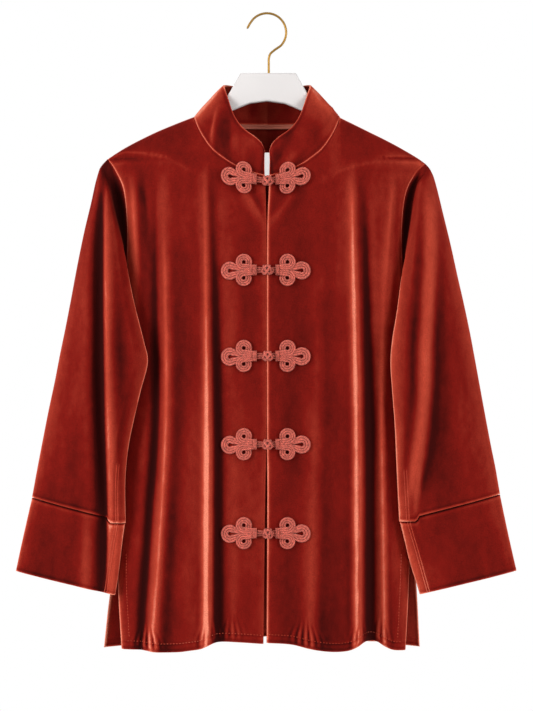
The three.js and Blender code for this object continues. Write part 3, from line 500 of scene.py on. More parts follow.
def neck_rise(top_out, drop):
    """How the cloth rises into the neck seam."""
    return 0.9 * math.exp(-((drop / 1.8) ** 2)) if top_out <= NECK_OUT else 0.0


def finer_near_ends(t, start_share, start_span, end_share, end_span):
    """Moves an even place along a panel so that rows crowd near its two ends."""
    if t < start_share:
        return start_span * t / start_share
    if t > 1 - end_share:
        return 1 - end_span * (1 - t) / end_share
    return mix(start_span, 1 - end_span, (t - start_share) / (1 - start_share - end_share))


def front_point(side, share, down):
    """A place on a front, from its opening edge to its side and from the top down."""
    tip = SHOULDER[side][-1][0]
    top_out = mix(opening_edge(side, FRONT_NECK[0][1]), tip, share)
    top = read(FRONT_NECK, top_out) if top_out <= NECK_OUT else shoulder_height(side, top_out)
    hem_out = mix(opening_edge(side, HEM_HEIGHT), HEM[side][-1][0], share)
    foot = read(HEM[side], hem_out)
    z = mix(top, foot, down)
    near, far = opening_edge(side, z), read(SIDE_LINE[side], z)
    out = mix(near, far, share)
    edges = roll(out - near) + roll(z - foot) + neck_rise(top_out, top - z)
    if z > UNDERARM or z < VENT_TOP:
        edges += roll(far - out) * free_side(z)
    return on_panel(side, out, z, FRONT, hem_relief(FRONT, side, out, z - foot) + edges)


def back_point(across, down):
    """A place on the back, from -1 at the wearer's right edge to 1 at the left one."""
    side = RIGHT if across < 0 else LEFT
    share = abs(across)
    top_out = SHOULDER[side][-1][0] * share
    top = read(BACK_NECK, top_out) if top_out <= NECK_OUT else shoulder_height(side, top_out)
    foot = read(BACK_HEM, BACK_BELOW_VENT[side][-1][1] * share)
    z = mix(top, foot, down)
    far = edge_out(side, z, BACK)
    out = far * share
    edges = roll(z - foot) + roll(far - out) * free_side(z) + neck_rise(top_out, top - z)
    return on_panel(side, out, z, BACK, hem_relief(BACK, side, out, z - foot) + edges)


# ------------------------------------------------------------------ sleeves


def sleeve_section(side, row, joined, steps):
    """One section, from the front armhole edge round the fold and the outer edge to the back."""
    outer_x, outer_z, fold_x, fold_z, front_y, back_y, forward = row
    width = outer_x - fold_x
    body_edge = read(SIDE_LINE[side], fold_z)
    lap = body_edge - fold_x
    clear = 1.4
    rim_front, rim_back = read(RIM_DEPTH[FRONT], fold_z), read(RIM_DEPTH[BACK], fold_z)
    rim_out = body_edge - TUCK

    def over(out):
        return plain_stand_out(side, min(out, body_edge), fold_z) + 0.8

    def front(share):
        return -front_y * share - forward

    def back(share):
        return back_y * share - forward

    closed = (max(body_edge + 3.5, fold_x + 7), 1.0)
    start = tuple(mix(a, b, joined) for a, b in zip((rim_out, TUCK - rim_front), closed))
    end = tuple(mix(a, b, joined) for a, b in zip((rim_out, rim_back - TUCK), closed))
    apart = smooth(fold_x - start[0], 3, 8)
    lapped = smooth(lap, -12, 8)
    under = mix(fold_x, body_edge, 0.55)
    behind = over(under) + clear + 1
    outermost = max(start[0], fold_x)
    dip = clamp((fold_x - start[0]) * 0.55, 2.5, max(rim_front * 0.65, 2.5))
    crease_at = (
        mix(outermost + mix(6.5, 3, joined), mix(start[0], fold_x, 0.5), apart),
        mix(-rim_front + dip, -5, joined),
    )
    turn = (
        mix(outermost + mix(6, 2.5, joined), mix(start[0], fold_x, 0.85), apart),
        mix(-behind, min(front(0.3), crease_at[1] - 1.5), apart),
    )
    behind_fold = (
        mix(mix(fold_x + 1.5, under, lapped), fold_x - 0.5, apart),
        mix(-behind - 0.6, front(0.55), apart),
    )
    fold_y = min(front(0.72), mix(-behind - 4.5, 0, apart))
    full = [
        start, crease_at, turn, behind_fold,
        (fold_x, fold_y),
        (fold_x + width * 0.13, min(front(0.95), fold_y - 2.5)),
        (fold_x + width * 0.42, front(0.97)),
        (fold_x + width * 0.74, front(0.78)),
        (fold_x + width * 0.95, front(0.34)),
        (outer_x, -forward),
        (fold_x + width * 0.94, back(0.4)),
        (fold_x + width * 0.7, back(0.86)),
        (mix(end[0], outer_x, 0.3), back(1)),
        (mix(end[0], outer_x, 0.07), mix(rim_back, back(1), 0.5)),
        end,
    ]
    opened = smooth(width, 3, 20)
    keys = []
    for i, (out, y) in enumerate(full):
        turned = math.pi * (i / (len(full) - 1) - 0.5)
        arch_y = math.sin(turned) * (rim_front if turned < 0 else rim_back)
        arch_out = mix(start[0], outer_x, math.cos(turned))
        keys.append(Vector((mix(arch_out, out, opened), mix(arch_y, y, opened), 0)))
    line = spline(keys, steps)
    for point in line:
        point.z = mix(fold_z, outer_z, clamp((point.x - fold_x) / width))
    return line


def sleeve_relief(side, key, point):
    """Creases on the front and back of a sleeve, fading out at its two edges."""
    if FOLD_KEY < key < OUTER_KEY:
        face = FRONT
        weight = clamp(math.sin(math.pi * (key - FOLD_KEY) / (OUTER_KEY - FOLD_KEY)) * 1.6)
    elif OUTER_KEY < key < SECTION_KEYS - 2:
        face = BACK
        weight = clamp(math.sin(math.pi * (key - OUTER_KEY) / (SECTION_KEYS - 2 - OUTER_KEY)) * 1.6)
    else:
        return 0.0
    fine = sum(crease(*one, point.x, point.z) for one in SLEEVE_CREASES[face, side])
    fine += 0.6 * waves((point.x * SIGN[side], point.y, point.z), 28, 5)
    reach = smooth(-point.z, 205, 260)
    way = -1 if face == FRONT else 1
    return way * weight * fine * reach * bpy.context.scene.jacket_sizes.fold_depth


def sleeve_line(side, table, at, joined, kinked=0.0):
    """One section of a sleeve or cuff. Where it is kinked, the underarm part hangs lower."""
    row = [read(table, at, column) for column in range(1, 8)]
    line = sleeve_section(side, row, joined, SECTION_STEPS)
    for i, point in enumerate(line):
        share = (point.x - row[2]) / (row[0] - row[2])
        lower = mix(1.5, 6, clamp(share / KINK_AT)) * (1 - smooth(share, KINK_AT, KINK_AT + 0.035))
        point.z -= kinked * lower
        point.y += sleeve_relief(side, i / SECTION_STEPS, point)
    return line


# ------------------------------------------------------------------ mesh making


def finish_piece(name, mesh, material, node, thickness=None, edge=0.5):
    """Turns a bmesh into a finished piece that stands for its CAD node."""
    data = bpy.data.meshes.new(name)
    mesh.to_mesh(data)
    mesh.free()
    data.shade_smooth()
    piece = bpy.data.objects.new(name, data)
    bpy.context.scene.collection.objects.link(piece)
    data.materials.append(material)
    if thickness:
        wall = piece.modifiers.new("wall", "SOLIDIFY")
        wall.thickness = thickness * MM
        wall.offset = 0
        wall.use_even_offset = False
        wall.use_quality_normals = True
        wall.use_rim = True
        rounding = piece.modifiers.new("rolled edge", "BEVEL")
        rounding.limit_method = "ANGLE"
        rounding.angle_limit = math.radians(60)
        rounding.width = edge * MM
        rounding.segments = 2
        rounding.use_clamp_overlap = True
    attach(piece, "root")
    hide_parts(node)
    return piece


def velvet_piece(name, mesh, node, thickness=None, edge=0.5):
    material = bpy.data.materials.get(VELVET_NAME) or velvet_material()
    return finish_piece(name, mesh, material, node, thickness, edge)


def neighbour_mean(place, values, reach, span):
    """The mean of some values of the cloth along each row, nearer points counting for more."""
    total, weights = numpy.zeros_like(place), numpy.zeros(place.shape[:2])
    columns = place.shape[1]
    for offset in range(-span, span + 1):
        here = slice(max(0, -offset), min(columns, columns - offset))
        there = slice(max(0, offset), min(columns, columns + offset))
        apart = numpy.linalg.norm(place[:, there] - place[:, here], axis=2)
        weight = numpy.exp(-((apart / reach) ** 2))
        total[:, here] += values[:, there] * weight[..., None]
        weights[:, here] += weight
    return total / weights[..., None]


def border_distance(place, axis, from_end):
    """How far each point is along the cloth from one border."""
    steps = numpy.linalg.norm(numpy.diff(place, axis=axis), axis=2)
    if from_end:
        steps = numpy.flip(steps, axis)
    along = numpy.cumsum(steps, axis=axis)
    start = numpy.zeros_like(numpy.take(along, [0], axis))
    along = numpy.concatenate([start, along], axis)
    return numpy.flip(along, axis) if from_end else along


def paint_light_and_shade(mesh, made, columns, rows, border_light, tube_like, side_light, rest, fold_edge):
    """Stores painted light: painted highlights on ridges and turned edges, painted shade in creases."""
    place = numpy.zeros((rows + 1, columns + 1, 3))
    cells = {}
    for vert, (across, down) in made.items():
        cells[vert] = round(down * rows), round(across * columns)
        place[cells[vert]] = vert.co / MM
    middle = place.mean(axis=1, keepdims=True) if tube_like else place * (1, 0, 1)
    normal = numpy.cross(numpy.gradient(place, axis=1), numpy.gradient(place, axis=0))
    normal /= numpy.linalg.norm(normal, axis=2, keepdims=True) + 1e-9
    normal *= numpy.sign((normal * (place - middle)).sum())
    painted_light = numpy.zeros(place.shape[:2])
    # Painted highlight where the cloth stands above its neighbours, painted shade where it lies below
    # them.
    for reach, span, depth, share in RELIEF_LIGHT_SCALES:
        raised = ((place - neighbour_mean(place, place, reach, span)) * normal).sum(axis=2)
        painted_light += share * numpy.where(
            raised > 0, numpy.tanh(raised / depth), -numpy.tanh((1.3 * raised / depth) ** 2))
    # Painted light where the cloth turns to the wearer's right, painted shade where it turns to the
    # left.
    turned = (neighbour_mean(place, normal, SIDE_LIGHT_REACH, SIDE_LIGHT_SPAN) - normal)[..., 0]
    painted_light += side_light * numpy.tanh(turned / numpy.where(turned > 0, *SIDE_LIGHT_FULL))
    # The level at rest, less painted shade where the cloth faces up.
    painted_light += rest - numpy.median(painted_light) - UPWARD_SHADE * numpy.clip(normal[..., 2], 0, 1)
    # The inner fold, where a row passes nearest the centre line, gets a painted highlight.
    for row, column in enumerate(numpy.abs(place[..., 0]).argmin(axis=1) if fold_edge else ()):
        away = numpy.linalg.norm(place[row] - place[row, column], axis=1)
        painted_light[row] += fold_edge * numpy.exp(-((away / 2) ** 2))
    ways = {"left": (1, False), "right": (1, True), "top": (0, False), "foot": (0, True)}
    # Each border gets a painted highlight on its turned edge and painted shade just beside it; a
    # negative weight paints shade on the edge.
    for border, weight in border_light.items():
        away = border_distance(place, *ways[border])
        beside = 0.25 * numpy.exp(-(((away - 3.6) / 1.8) ** 2))
        painted_light += weight * (numpy.exp(-((away / 1.1) ** 2)) - beside)
    layer = mesh.verts.layers.float["painted_light"]
    for vert, cell in cells.items():
        vert[layer] = float(painted_light[cell])


def grid(mesh, columns, rows, place, uv_size=(1.0, 1.0), border_light=None, tube_like=False,
         side_light=SIDE_LIGHT, rest=0.0, fold_edge=0.0):
    """Adds a sheet of columns x rows faces, each point at place(across, down)."""
    if border_light is not None:
        mesh.verts.layers.float.new("painted_light")
    uv = mesh.loops.layers.uv.verify()
    made = bmesh.ops.create_grid(mesh, x_segments=columns, y_segments=rows, size=0.5)["verts"]
    flat = {vert: (vert.co.x + 0.5, 0.5 - vert.co.y) for vert in made}
    faces = {face for vert in made for face in vert.link_faces}
    for face in faces:
        for loop in face.loops:
            across, down = flat[loop.vert]
            loop[uv].uv = (across * uv_size[0], down * uv_size[1])
    for vert, (across, down) in flat.items():
        vert.co = place(across, down) * MM
    if border_light is not None:
        paint_light_and_shade(mesh, flat, columns, rows, border_light, tube_like, side_light, rest, fold_edge)
    return made


def lines_grid(mesh, lines, border_light, side_light, rest):
    """Adds a sheet whose rows are lists of points, one list to a row."""
    rows, columns = len(lines) - 1, len(lines[0]) - 1
    return grid(
        mesh, columns, rows, lambda across, down: lines[round(down * rows)][round(across * columns)],
        border_light=border_light, tube_like=True, side_light=side_light, rest=rest, fold_edge=1.1)


def close_up(mesh):
    bmesh.ops.remove_doubles(mesh, verts=mesh.verts, dist=WELD)
    bmesh.ops.recalc_face_normals(mesh, faces=mesh.faces)


def tube(mesh, line, width, height, around=8, uv_length=1.0, next_to_end=1.0):
    """Adds a round or flattened cord along a line of points, closed at both ends."""
    rows = len(line) - 1
    frames = []
    for i, point in enumerate(line):
        along = (line[min(i + 1, rows)] - line[max(i - 1, 0)]).normalized()
        side = along.cross(Vector((0, 1, 0)))
        side = side.normalized() if side.length > 1e-3 else Vector((1, 0, 0))
        frames.append((point, side, side.cross(along).normalized()))

    def place(across, down):
        i = round(down * rows)
        point, side, up = frames[i]
        angle = 2 * math.pi * across
        fill = 0.0 if i in (0, rows) else next_to_end if i in (1, rows - 1) else 1.0
        return point + (side * math.cos(angle) * width + up * math.sin(angle) * height) * fill / 2

    return grid(mesh, around, rows, place, (1.0, uv_length))


def new_sewing():
    mesh = bmesh.new()
    mesh.verts.layers.float.new("painted_light")
    return mesh


def seam(mesh, line, width=1.1, height=0.8, painted_light=0.9):
    """Adds a thin line of turned cloth or thread along the given points, painted pale as a highlight.
    """
    layer = mesh.verts.layers.float["painted_light"]
    for vert in tube(mesh, line, width, height, 6):
        vert[layer] = painted_light


def stitches(mesh, line):
    """Adds small separate stitches along the given points, which stand close together."""
    gone, start = 0.0, 0
    for i in range(1, len(line)):
        gone += (line[i] - line[i - 1]).length
        if gone >= STITCH_PITCH:
            end = line[start] + (line[i] - line[start]).normalized() * STITCH_LENGTH
            # Each stitch is painted with a full highlight.
            seam(mesh, [line[start].lerp(end, step / 3) for step in range(4)], 0.9, 0.8, 1.0)
            gone, start = 0.0, i


def stitch_hem(mesh, side, face, wide, hem, near, first):
    """Sews along a panel's hem, outwards from `near`, and up beside its vent."""
    along_hem, up_vent = [], []
    for step in range(first, 400):
        out = mix(near, wide - 2, step / 400)
        relief = hem_relief(face, side, out, HEM_BAND)
        along_hem.append(on_panel(side, out, read(hem, out) + HEM_BAND, face, relief + 1))
    for step in range(1, 200):
        z = mix(VENT_TOP, read(hem, wide) + HEM_BAND + 3, step / 200)
        up_vent.append(on_panel(side, edge_out(side, z, face) - FACING, z, face, 1))
    stitches(mesh, along_hem)
    stitches(mesh, up_vent)

# ------------------------------------------------------------------ materials


def fill(tree, node, inputs):
    """Sets a node's inputs: an output is linked to its input, and any other value is stored."""
    for name, value in inputs.items():
        if isinstance(value, bpy.types.NodeSocket):
            tree.links.new(value, node.inputs[name])
        else:
            node.inputs[name].default_value = value


def add(tree, kind, inputs, **settings):
    """Adds a shader node, with its settings made before its inputs."""
    node = tree.nodes.new(f"ShaderNode{kind}")
    for name, value in settings.items():
        setattr(node, name, value)
    fill(tree, node, inputs)
    return node


def new_material(name):
    material = bpy.data.materials.new(name)
    material.use_nodes = True
    return material, material.node_tree


def surface(tree, inputs):
    fill(tree, tree.nodes["Principled BSDF"], inputs)


def spread(tree, scale, detail=2.0, stretch=(1, 1, 1)):
    """A noise texture on the piece's own coordinates."""
    place = add(tree, "TexCoord", {}).outputs["Object"]
    turn = add(tree, "Mapping", {"Scale": stretch, "Vector": place}).outputs["Vector"]
    return add(tree, "TexNoise", {"Scale": scale, "Detail": detail, "Vector": turn}).outputs["Fac"]


def ramp(tree, value, stops):
    """Colours along a value, as (place, colour) stops."""
    node = add(tree, "ValToRGB", {"Fac": value})
    elements = node.color_ramp.elements
    for end in (0, -1):
        elements[end].position, elements[end].color = stops[end][0], (*stops[end][1], 1)
    for place, colour in stops[1:-1]:
        elements.new(place).color = (*colour, 1)
    return node.outputs["Color"]


def multiply(tree, first, second):
    """Multiplies two colours."""
    return add(tree, "Mix", {"Factor": 1.0, "A": first, "B": second},
               data_type="RGBA", blend_type="MULTIPLY").outputs["Result"]


def bump(tree, height, strength, distance, normal=None):
    node = add(tree, "Bump", {"Strength": strength, "Distance": distance, "Height": height})
    if normal:
        fill(tree, node, {"Normal": normal})
    return node.outputs["Normal"]


def within(tree, value, low, high):
    """Moves a value from 0 to 1 to lie between two others."""
    return add(tree, "MapRange", {"To Min": low, "To Max": high, "Value": value}).outputs["Result"]


def shade(colour, factor):
    return tuple(channel * factor for channel in colour)


def mix_colour(first, second, share):
    return tuple(mix(a, b, share) for a, b in zip(first, second))


def velvet_material():
    """Cut pile with painted shade down in the creases, painted highlights on ridges and turned edges,
    and brushed patches.
    """
    colours = bpy.context.scene.jacket_colours
    material, tree = new_material(VELVET_NAME)
    deep, base = tuple(colours.velvet_crease_shade), tuple(colours.velvet)
    turned, pale = tuple(colours.velvet_fold_highlight), tuple(colours.velvet_sheen)
    pile = spread(tree, 800)
    lie = bump(tree, spread(tree, 45, 3, (1, 1, 0.4)), 0.35, 0.0016)
    # The tone is its rest and a share of each of these: the painted light, brushed patches, and a
    # painted sheen by the view.
    level = VELVET_REST
    for value, share in (
        (add(tree, "Attribute", {}, attribute_name="painted_light").outputs["Fac"], 0.34),
        (spread(tree, 7, 3, (1, 1, 0.35)), 0.42),
        (spread(tree, 26, 3, (1, 1, 0.5)), 0.2),
        (spread(tree, 120, 3, (1, 1, 0.6)), 0.14),
        (add(tree, "LayerWeight", {"Blend": 0.5, "Normal": lie}).outputs["Facing"], 0.2),
    ):
        weighed = add(tree, "Math", {0: value, 1: share, 2: level}, operation="MULTIPLY_ADD")
        level = weighed.outputs["Value"]
    # From painted shade through the pile's own colour to painted highlight and painted sheen.
    tone = ramp(tree, level, [
        (0.0, shade(deep, 0.5)), (0.2, deep), (0.42, base), (0.6, mix_colour(base, turned, 0.42)),
        (0.77, turned), (0.94, pale)])
    speckle = ramp(tree, pile, [(0.3, (0.74, 0.7, 0.7)), (0.7, (1.08, 1.05, 1.05))])
    surface(tree, {
        "Base Color": multiply(tree, tone, speckle), "Normal": bump(tree, pile, 0.3, 0.0004, lie),
        "Roughness": 0.9, "Specular IOR Level": 0.08, "Sheen Weight": 0.5,
        "Sheen Roughness": 0.3, "Sheen Tint": (*turned, 1)})
    return material


def braid_material():
    """Woven cord: fine slanting strands along each cord, painted shade where cords meet, a dry finish.
    """
    material, tree = new_material(BRAID_NAME)
    base = tuple(bpy.context.scene.jacket_colours.braid)
    place = add(tree, "TexCoord", {}).outputs["UV"]
    strands = add(
        tree, "TexWave", {"Scale": 1.6, "Distortion": 0.6, "Vector": place},
        wave_type="BANDS", bands_direction="DIAGONAL").outputs["Fac"]
    # Once round a cord: 1 on its top and 0 where it meets the next one.
    raised = add(tree, "SeparateXYZ", {"Vector": place}).outputs["X"]
    for operation, inputs in (("MULTIPLY", {1: 2 * math.pi}), ("SINE", {}), ("ABSOLUTE", {})):
        raised = add(tree, "Math", {0: raised, **inputs}, operation=operation).outputs["Value"]
    tone = ramp(tree, spread(tree, 420, 3), [
        (0.36, shade(base, 0.7)), (0.5, base), (0.66, shade(base, 1.35))])
    lines = ramp(tree, strands, [(0.1, (0.66, 0.6, 0.58)), (0.6, (1, 1, 1))])
    # Painted shade where one cord meets the next.
    between = ramp(tree, raised, [
        (0.0, (0.2, 0.1, 0.08)), (0.4, (0.68, 0.54, 0.5)), (0.85, (1, 1, 1))])
    surface(tree, {
        "Base Color": multiply(tree, multiply(tree, tone, lines), between),
        "Normal": bump(tree, strands, 0.6, 0.0004), "Roughness": 0.75, "Sheen Weight": 0.4,
        "Sheen Roughness": 0.4, "Sheen Tint": (1.0, 0.5, 0.4, 1)})
    return material


def woven_material(name, base, scale, painted_glow=0.0):
    """A plain weave of warp and weft at thread size, which may glow with painted light."""
    material, tree = new_material(name)
    place = add(tree, "TexCoord", {}).outputs["Object"]
    weave = multiply(tree, *[
        add(tree, "TexWave", {"Scale": scale, "Distortion": 0.4, "Vector": place},
            bands_direction=direction).outputs["Color"]
        for direction in ("X", "Z")])
    tone = ramp(tree, weave, [(0.0, shade(base, 0.82)), (0.8, base)])
    surface(tree, {
        "Base Color": tone, "Normal": bump(tree, weave, 0.5, 0.0002), "Roughness": 0.8,
        "Sheen Weight": 0.3, "Sheen Tint": (*base, 1)})
    # The glow is painted light, to light the cloth where it lies in shade.
    if painted_glow:
        surface(tree, {"Emission Color": tone, "Emission Strength": painted_glow})
    return material


def plastic_material():
    material, tree = new_material("satin white hanger")
    base = tuple(bpy.context.scene.jacket_colours.hanger)
    surface(tree, {
        "Base Color": ramp(tree, spread(tree, 14), [(0.3, shade(base, 0.96)), (0.7, base)]),
        "Normal": bump(tree, spread(tree, 900), 0.12, 0.0002),
        "Roughness": within(tree, spread(tree, 70, 3), 0.42, 0.58)})
    return material


def brass_material():
    material, tree = new_material("polished brass wire")
    base = tuple(bpy.context.scene.jacket_colours.brass)
    surface(tree, {
        "Base Color": ramp(tree, spread(tree, 30), [(0.3, shade(base, 0.86)), (0.65, base)]),
        "Roughness": within(tree, spread(tree, 400, 2, (1, 1, 0.15)), 0.38, 0.44),
        "Metallic": 1.0})
    return material


def floor_material():
    material, tree = new_material("pale floor")
    base = tuple(bpy.context.scene.jacket_colours.floor)
    surface(tree, {
        "Base Color": ramp(tree, spread(tree, 2), [(0.3, shade(base, 0.985)), (0.7, base)]),
        "Roughness": 0.9})
    return material

# ------------------------------------------------------------------ settings


class JacketSizes(PropertyGroup):
    cloth: FloatProperty(
        name="Cloth", description="Thickness of the velvet, millimetres", default=1.6, min=0.6, max=3)
    collar: FloatProperty(
        name="Collar", description="Thickness of the stand collar, millimetres", default=2.2, min=1,
        max=4)
    fold_depth: FloatProperty(
        name="Fine folds", description="How deep the finer creases are", default=1.0, min=0, max=2,
        subtype="FACTOR")
    panel_columns: IntProperty(
        name="Panel columns", description="Faces across one front panel", default=132, min=20, max=160)
    panel_rows: IntProperty(
        name="Panel rows", description="Faces down a panel", default=200, min=40, max=260)
    camera_distance: FloatProperty(
        name="Camera distance", description="From the jacket's plane to the camera", default=2.6,
        unit="LENGTH")


class JacketColours(PropertyGroup):
    # Painted shade: the pile's colour down in a crease.
    velvet_crease_shade: FloatVectorProperty(
        name="Velvet deep", description="Pile down in a crease", subtype="COLOR",
        default=(0.05, 0.0012, 0.0004))
    velvet: FloatVectorProperty(
        name="Velvet", description="Pile seen straight on", subtype="COLOR",
        default=(0.185, 0.006, 0.003))
    # Painted highlight: the pile's colour on the turn of a fold.
    velvet_fold_highlight: FloatVectorProperty(
        name="Velvet turned", description="Pile on the turn of a fold", subtype="COLOR",
        default=(0.47, 0.056, 0.028))
    velvet_sheen: FloatVectorProperty(
        name="Velvet sheen", description="Pile seen from the side", subtype="COLOR",
        default=(0.82, 0.24, 0.15))
    braid: FloatVectorProperty(
        name="Braid", description="Frog cord", subtype="COLOR", default=(0.57, 0.105, 0.07))
    tape: FloatVectorProperty(
        name="Neck tape", description="Tape inside the neck", subtype="COLOR",
        default=(0.62, 0.16, 0.1))
    label: FloatVectorProperty(
        name="Label", description="Blank strip", subtype="COLOR", default=(0.9, 0.89, 0.88))
    hanger: FloatVectorProperty(
        name="Hanger", description="Hanger body", subtype="COLOR", default=(0.66, 0.632, 0.622))
    brass: FloatVectorProperty(
        name="Brass", description="Hook wire", subtype="COLOR", default=(0.27, 0.15, 0.035))
    floor: FloatVectorProperty(
        name="Floor", description="Studio floor", subtype="COLOR", default=(0.9, 0.9, 0.9))


# ------------------------------------------------------------------ operators


class JACKET_OT_fronts(Operator):
    """Build the two velvet fronts with their long folds and turned hems"""

    bl_idname = "jacket.fronts"
    bl_label = "Fronts"

    def execute(self, context):
        sizes = context.scene.jacket_sizes
        for side in (RIGHT, LEFT):
            mesh = bmesh.new()
            grid(
                mesh, sizes.panel_columns, sizes.panel_rows,
                lambda across, down, side=side: front_point(
                    side, finer_near_ends(across, 0.05, 0.016, 0.05, 0.02),
                    finer_near_ends(down, 0.08, 0.035, 0.16, 0.05)), border_light=FRONT_BORDER_LIGHT)
            close_up(mesh)
            piece = velvet_piece(f"velvet_front_{side}", mesh, f"front_{side}", sizes.cloth)
            mesh, near = new_sewing(), opening_edge(side, HEM_HEIGHT) + 2
            stitch_hem(mesh, side, FRONT, HEM[side][-1][0], HEM[side], near, 1)
            velvet_piece(f"stitching_front_{side}", mesh, f"front_{side}")
        return {"FINISHED"}


class JACKET_OT_back(Operator):
    """Build the one-piece velvet back"""

    bl_idname = "jacket.back"
    bl_label = "Back"

    def execute(self, context):
        sizes = context.scene.jacket_sizes
        mesh = bmesh.new()
        grid(mesh, 2 * sizes.panel_columns - 24, sizes.panel_rows - 20, lambda across, down: back_point(
            2 * finer_near_ends(across, 0.03, 0.012, 0.03, 0.012) - 1,
            finer_near_ends(down, 0.08, 0.035, 0.12, 0.05)), border_light=ALL_BORDER_LIGHT)
        close_up(mesh)
        piece = velvet_piece("velvet_back", mesh, "back", sizes.cloth)
        mesh = new_sewing()
        for side in (RIGHT, LEFT):
            stitch_hem(mesh, side, BACK, BACK_BELOW_VENT[side][-1][1], BACK_HEM, 0, 0)
        velvet_piece("stitching_back", mesh, "back")
        return {"FINISHED"}


def sleeve_piece(part, side, lines, border_light, rest, seam_rows):
    """Makes a sleeve or cuff from its rows of points, with its two raised seams."""
    mesh, node = bmesh.new(), f"{part}_{side}"
    lines_grid(mesh, lines, border_light, SLEEVE_SIDE_LIGHT[side], rest)
    close_up(mesh)
    piece = velvet_piece(f"velvet_{node}", mesh, node, bpy.context.scene.jacket_sizes.cloth)
    mesh = new_sewing()
    for key in SEAM_KEYS:
        seam(mesh, [line[round(key * SECTION_STEPS)] + SEAM_PROUD for line in lines[-seam_rows:]])
    velvet_piece(f"{part}_seam_{side}", mesh, node)
    return piece


class JACKET_OT_sleeves(Operator):
    """Build the two sleeves, open at the armhole and closed below the underarm"""

    bl_idname = "jacket.sleeves"
    bl_label = "Sleeves"

    def execute(self, context):
        for side in (RIGHT, LEFT):
            last = len(SLEEVE[side]) - 1
            lines = []
            for i in range(last * SLEEVE_ROWS + 1):
                at = i / SLEEVE_ROWS
                joined = smooth(at, UNDERARM_STEP - 1, UNDERARM_STEP)
                line = sleeve_line(side, SLEEVE[side], at, joined, smooth(at, last - 1.2, last))
                # The sleeve's end stands proud of the cuff that is sewn to it.
                proud = 1.2 * smooth(at, last - 0.25, last)
                for k, point in enumerate(line):
                    if FOLD_KEY <= k / SECTION_STEPS < SECTION_KEYS - 2:
                        point.y += math.copysign(proud, point.y + read(SLEEVE[side], at, 7))
                    point.x *= SIGN[side]
                lines.append(line)
            # The sleeve's end gets a painted highlight on its turned edge.
            piece = sleeve_piece("sleeve", side, lines, {"foot": 1.1}, SLEEVE_REST[side], 18)
        return {"FINISHED"}


class JACKET_OT_cuffs(Operator):
    """Build the two flared cuffs"""

    bl_idname = "jacket.cuffs"
    bl_label = "Cuffs"

    def execute(self, context):
        for side in (RIGHT, LEFT):
            lines = []
            for i in range(CUFF_ROWS + 1):
                at = 3 * finer_near_ends(i / CUFF_ROWS, 0.1, 0.04, 0.15, 0.05)
                line = sleeve_line(side, CUFF[side], at, 1.0, 1 - smooth(at, 0, 1.3))
                for point in line:
                    point.x *= SIGN[side]
                lines.append(line)
            # The cuff's top edge is painted dark as shade under the sleeve's lip, and its hem gets a
            # painted highlight.
            piece = sleeve_piece(
                "cuff", side, lines, {"top": -1.2, "foot": 1.2}, CUFF_REST, len(lines))
        return {"FINISHED"}


def collar_point(at, up):
    """A place on the collar, from -1 at its right end to 1 at its left end, 0 at the back."""
    side = RIGHT if at < 0 else LEFT
    along = (1 - abs(at)) * 2
    if along < 1:
        rows, neck, face = COLLAR_FRONT_TOP, FRONT_NECK, FRONT
        step = along
    else:
        rows, neck, face = COLLAR_BACK_TOP, BACK_NECK, BACK
        step = along - 1
    indexed = [(i / (len(rows) - 1), *row) for i, row in enumerate(rows)]
    seam, out, y, z = (read(indexed, step, column) for column in (1, 2, 3, 4))
    foot = on_panel(side, seam, read(neck, seam), face)
    top = Vector((SIGN[side] * out, y, z))
    foot += (top - foot).normalized() * COLLAR_LIFT
    point = foot.lerp(top, up)
    outward = Vector((point.x, point.y, 0)).normalized()
    full = COLLAR_BULGE * 4 * up * (1 - up)
    for start, end, reach, height in COLLAR_DRAGS:
        along_it = Vector((end[0] - start[0], end[1] - start[1])).normalized()
        apart = (point.x - start[0]) * along_it.y - (point.z - start[1]) * along_it.x
        full += height * math.exp(-((apart / reach) ** 2)) * math.sin(math.pi * up) * (point.y < 0)
    full += 0.9 * waves((point.x, point.y, point.z * 2), 17, 2) * math.sin(math.pi * up)
    return point + outward * full


class JACKET_OT_collar(Operator):
    """Build the stand collar, open at the centre front"""

    bl_idname = "jacket.collar"
    bl_label = "Collar"

    def execute(self, context):
        sizes = context.scene.jacket_sizes
        mesh = bmesh.new()
        grid(mesh, 220, 24, lambda across, down: collar_point(
            2 * finer_near_ends(across, 0.04, 0.015, 0.04, 0.015) - 1,
            1 - finer_near_ends(down, 0.12, 0.05, 0.12, 0.05)), border_light=ALL_BORDER_LIGHT, tube_like=True)
        close_up(mesh)
        piece = velvet_piece("velvet_collar", mesh, "collar", sizes.collar, 0.8)
        return {"FINISHED"}


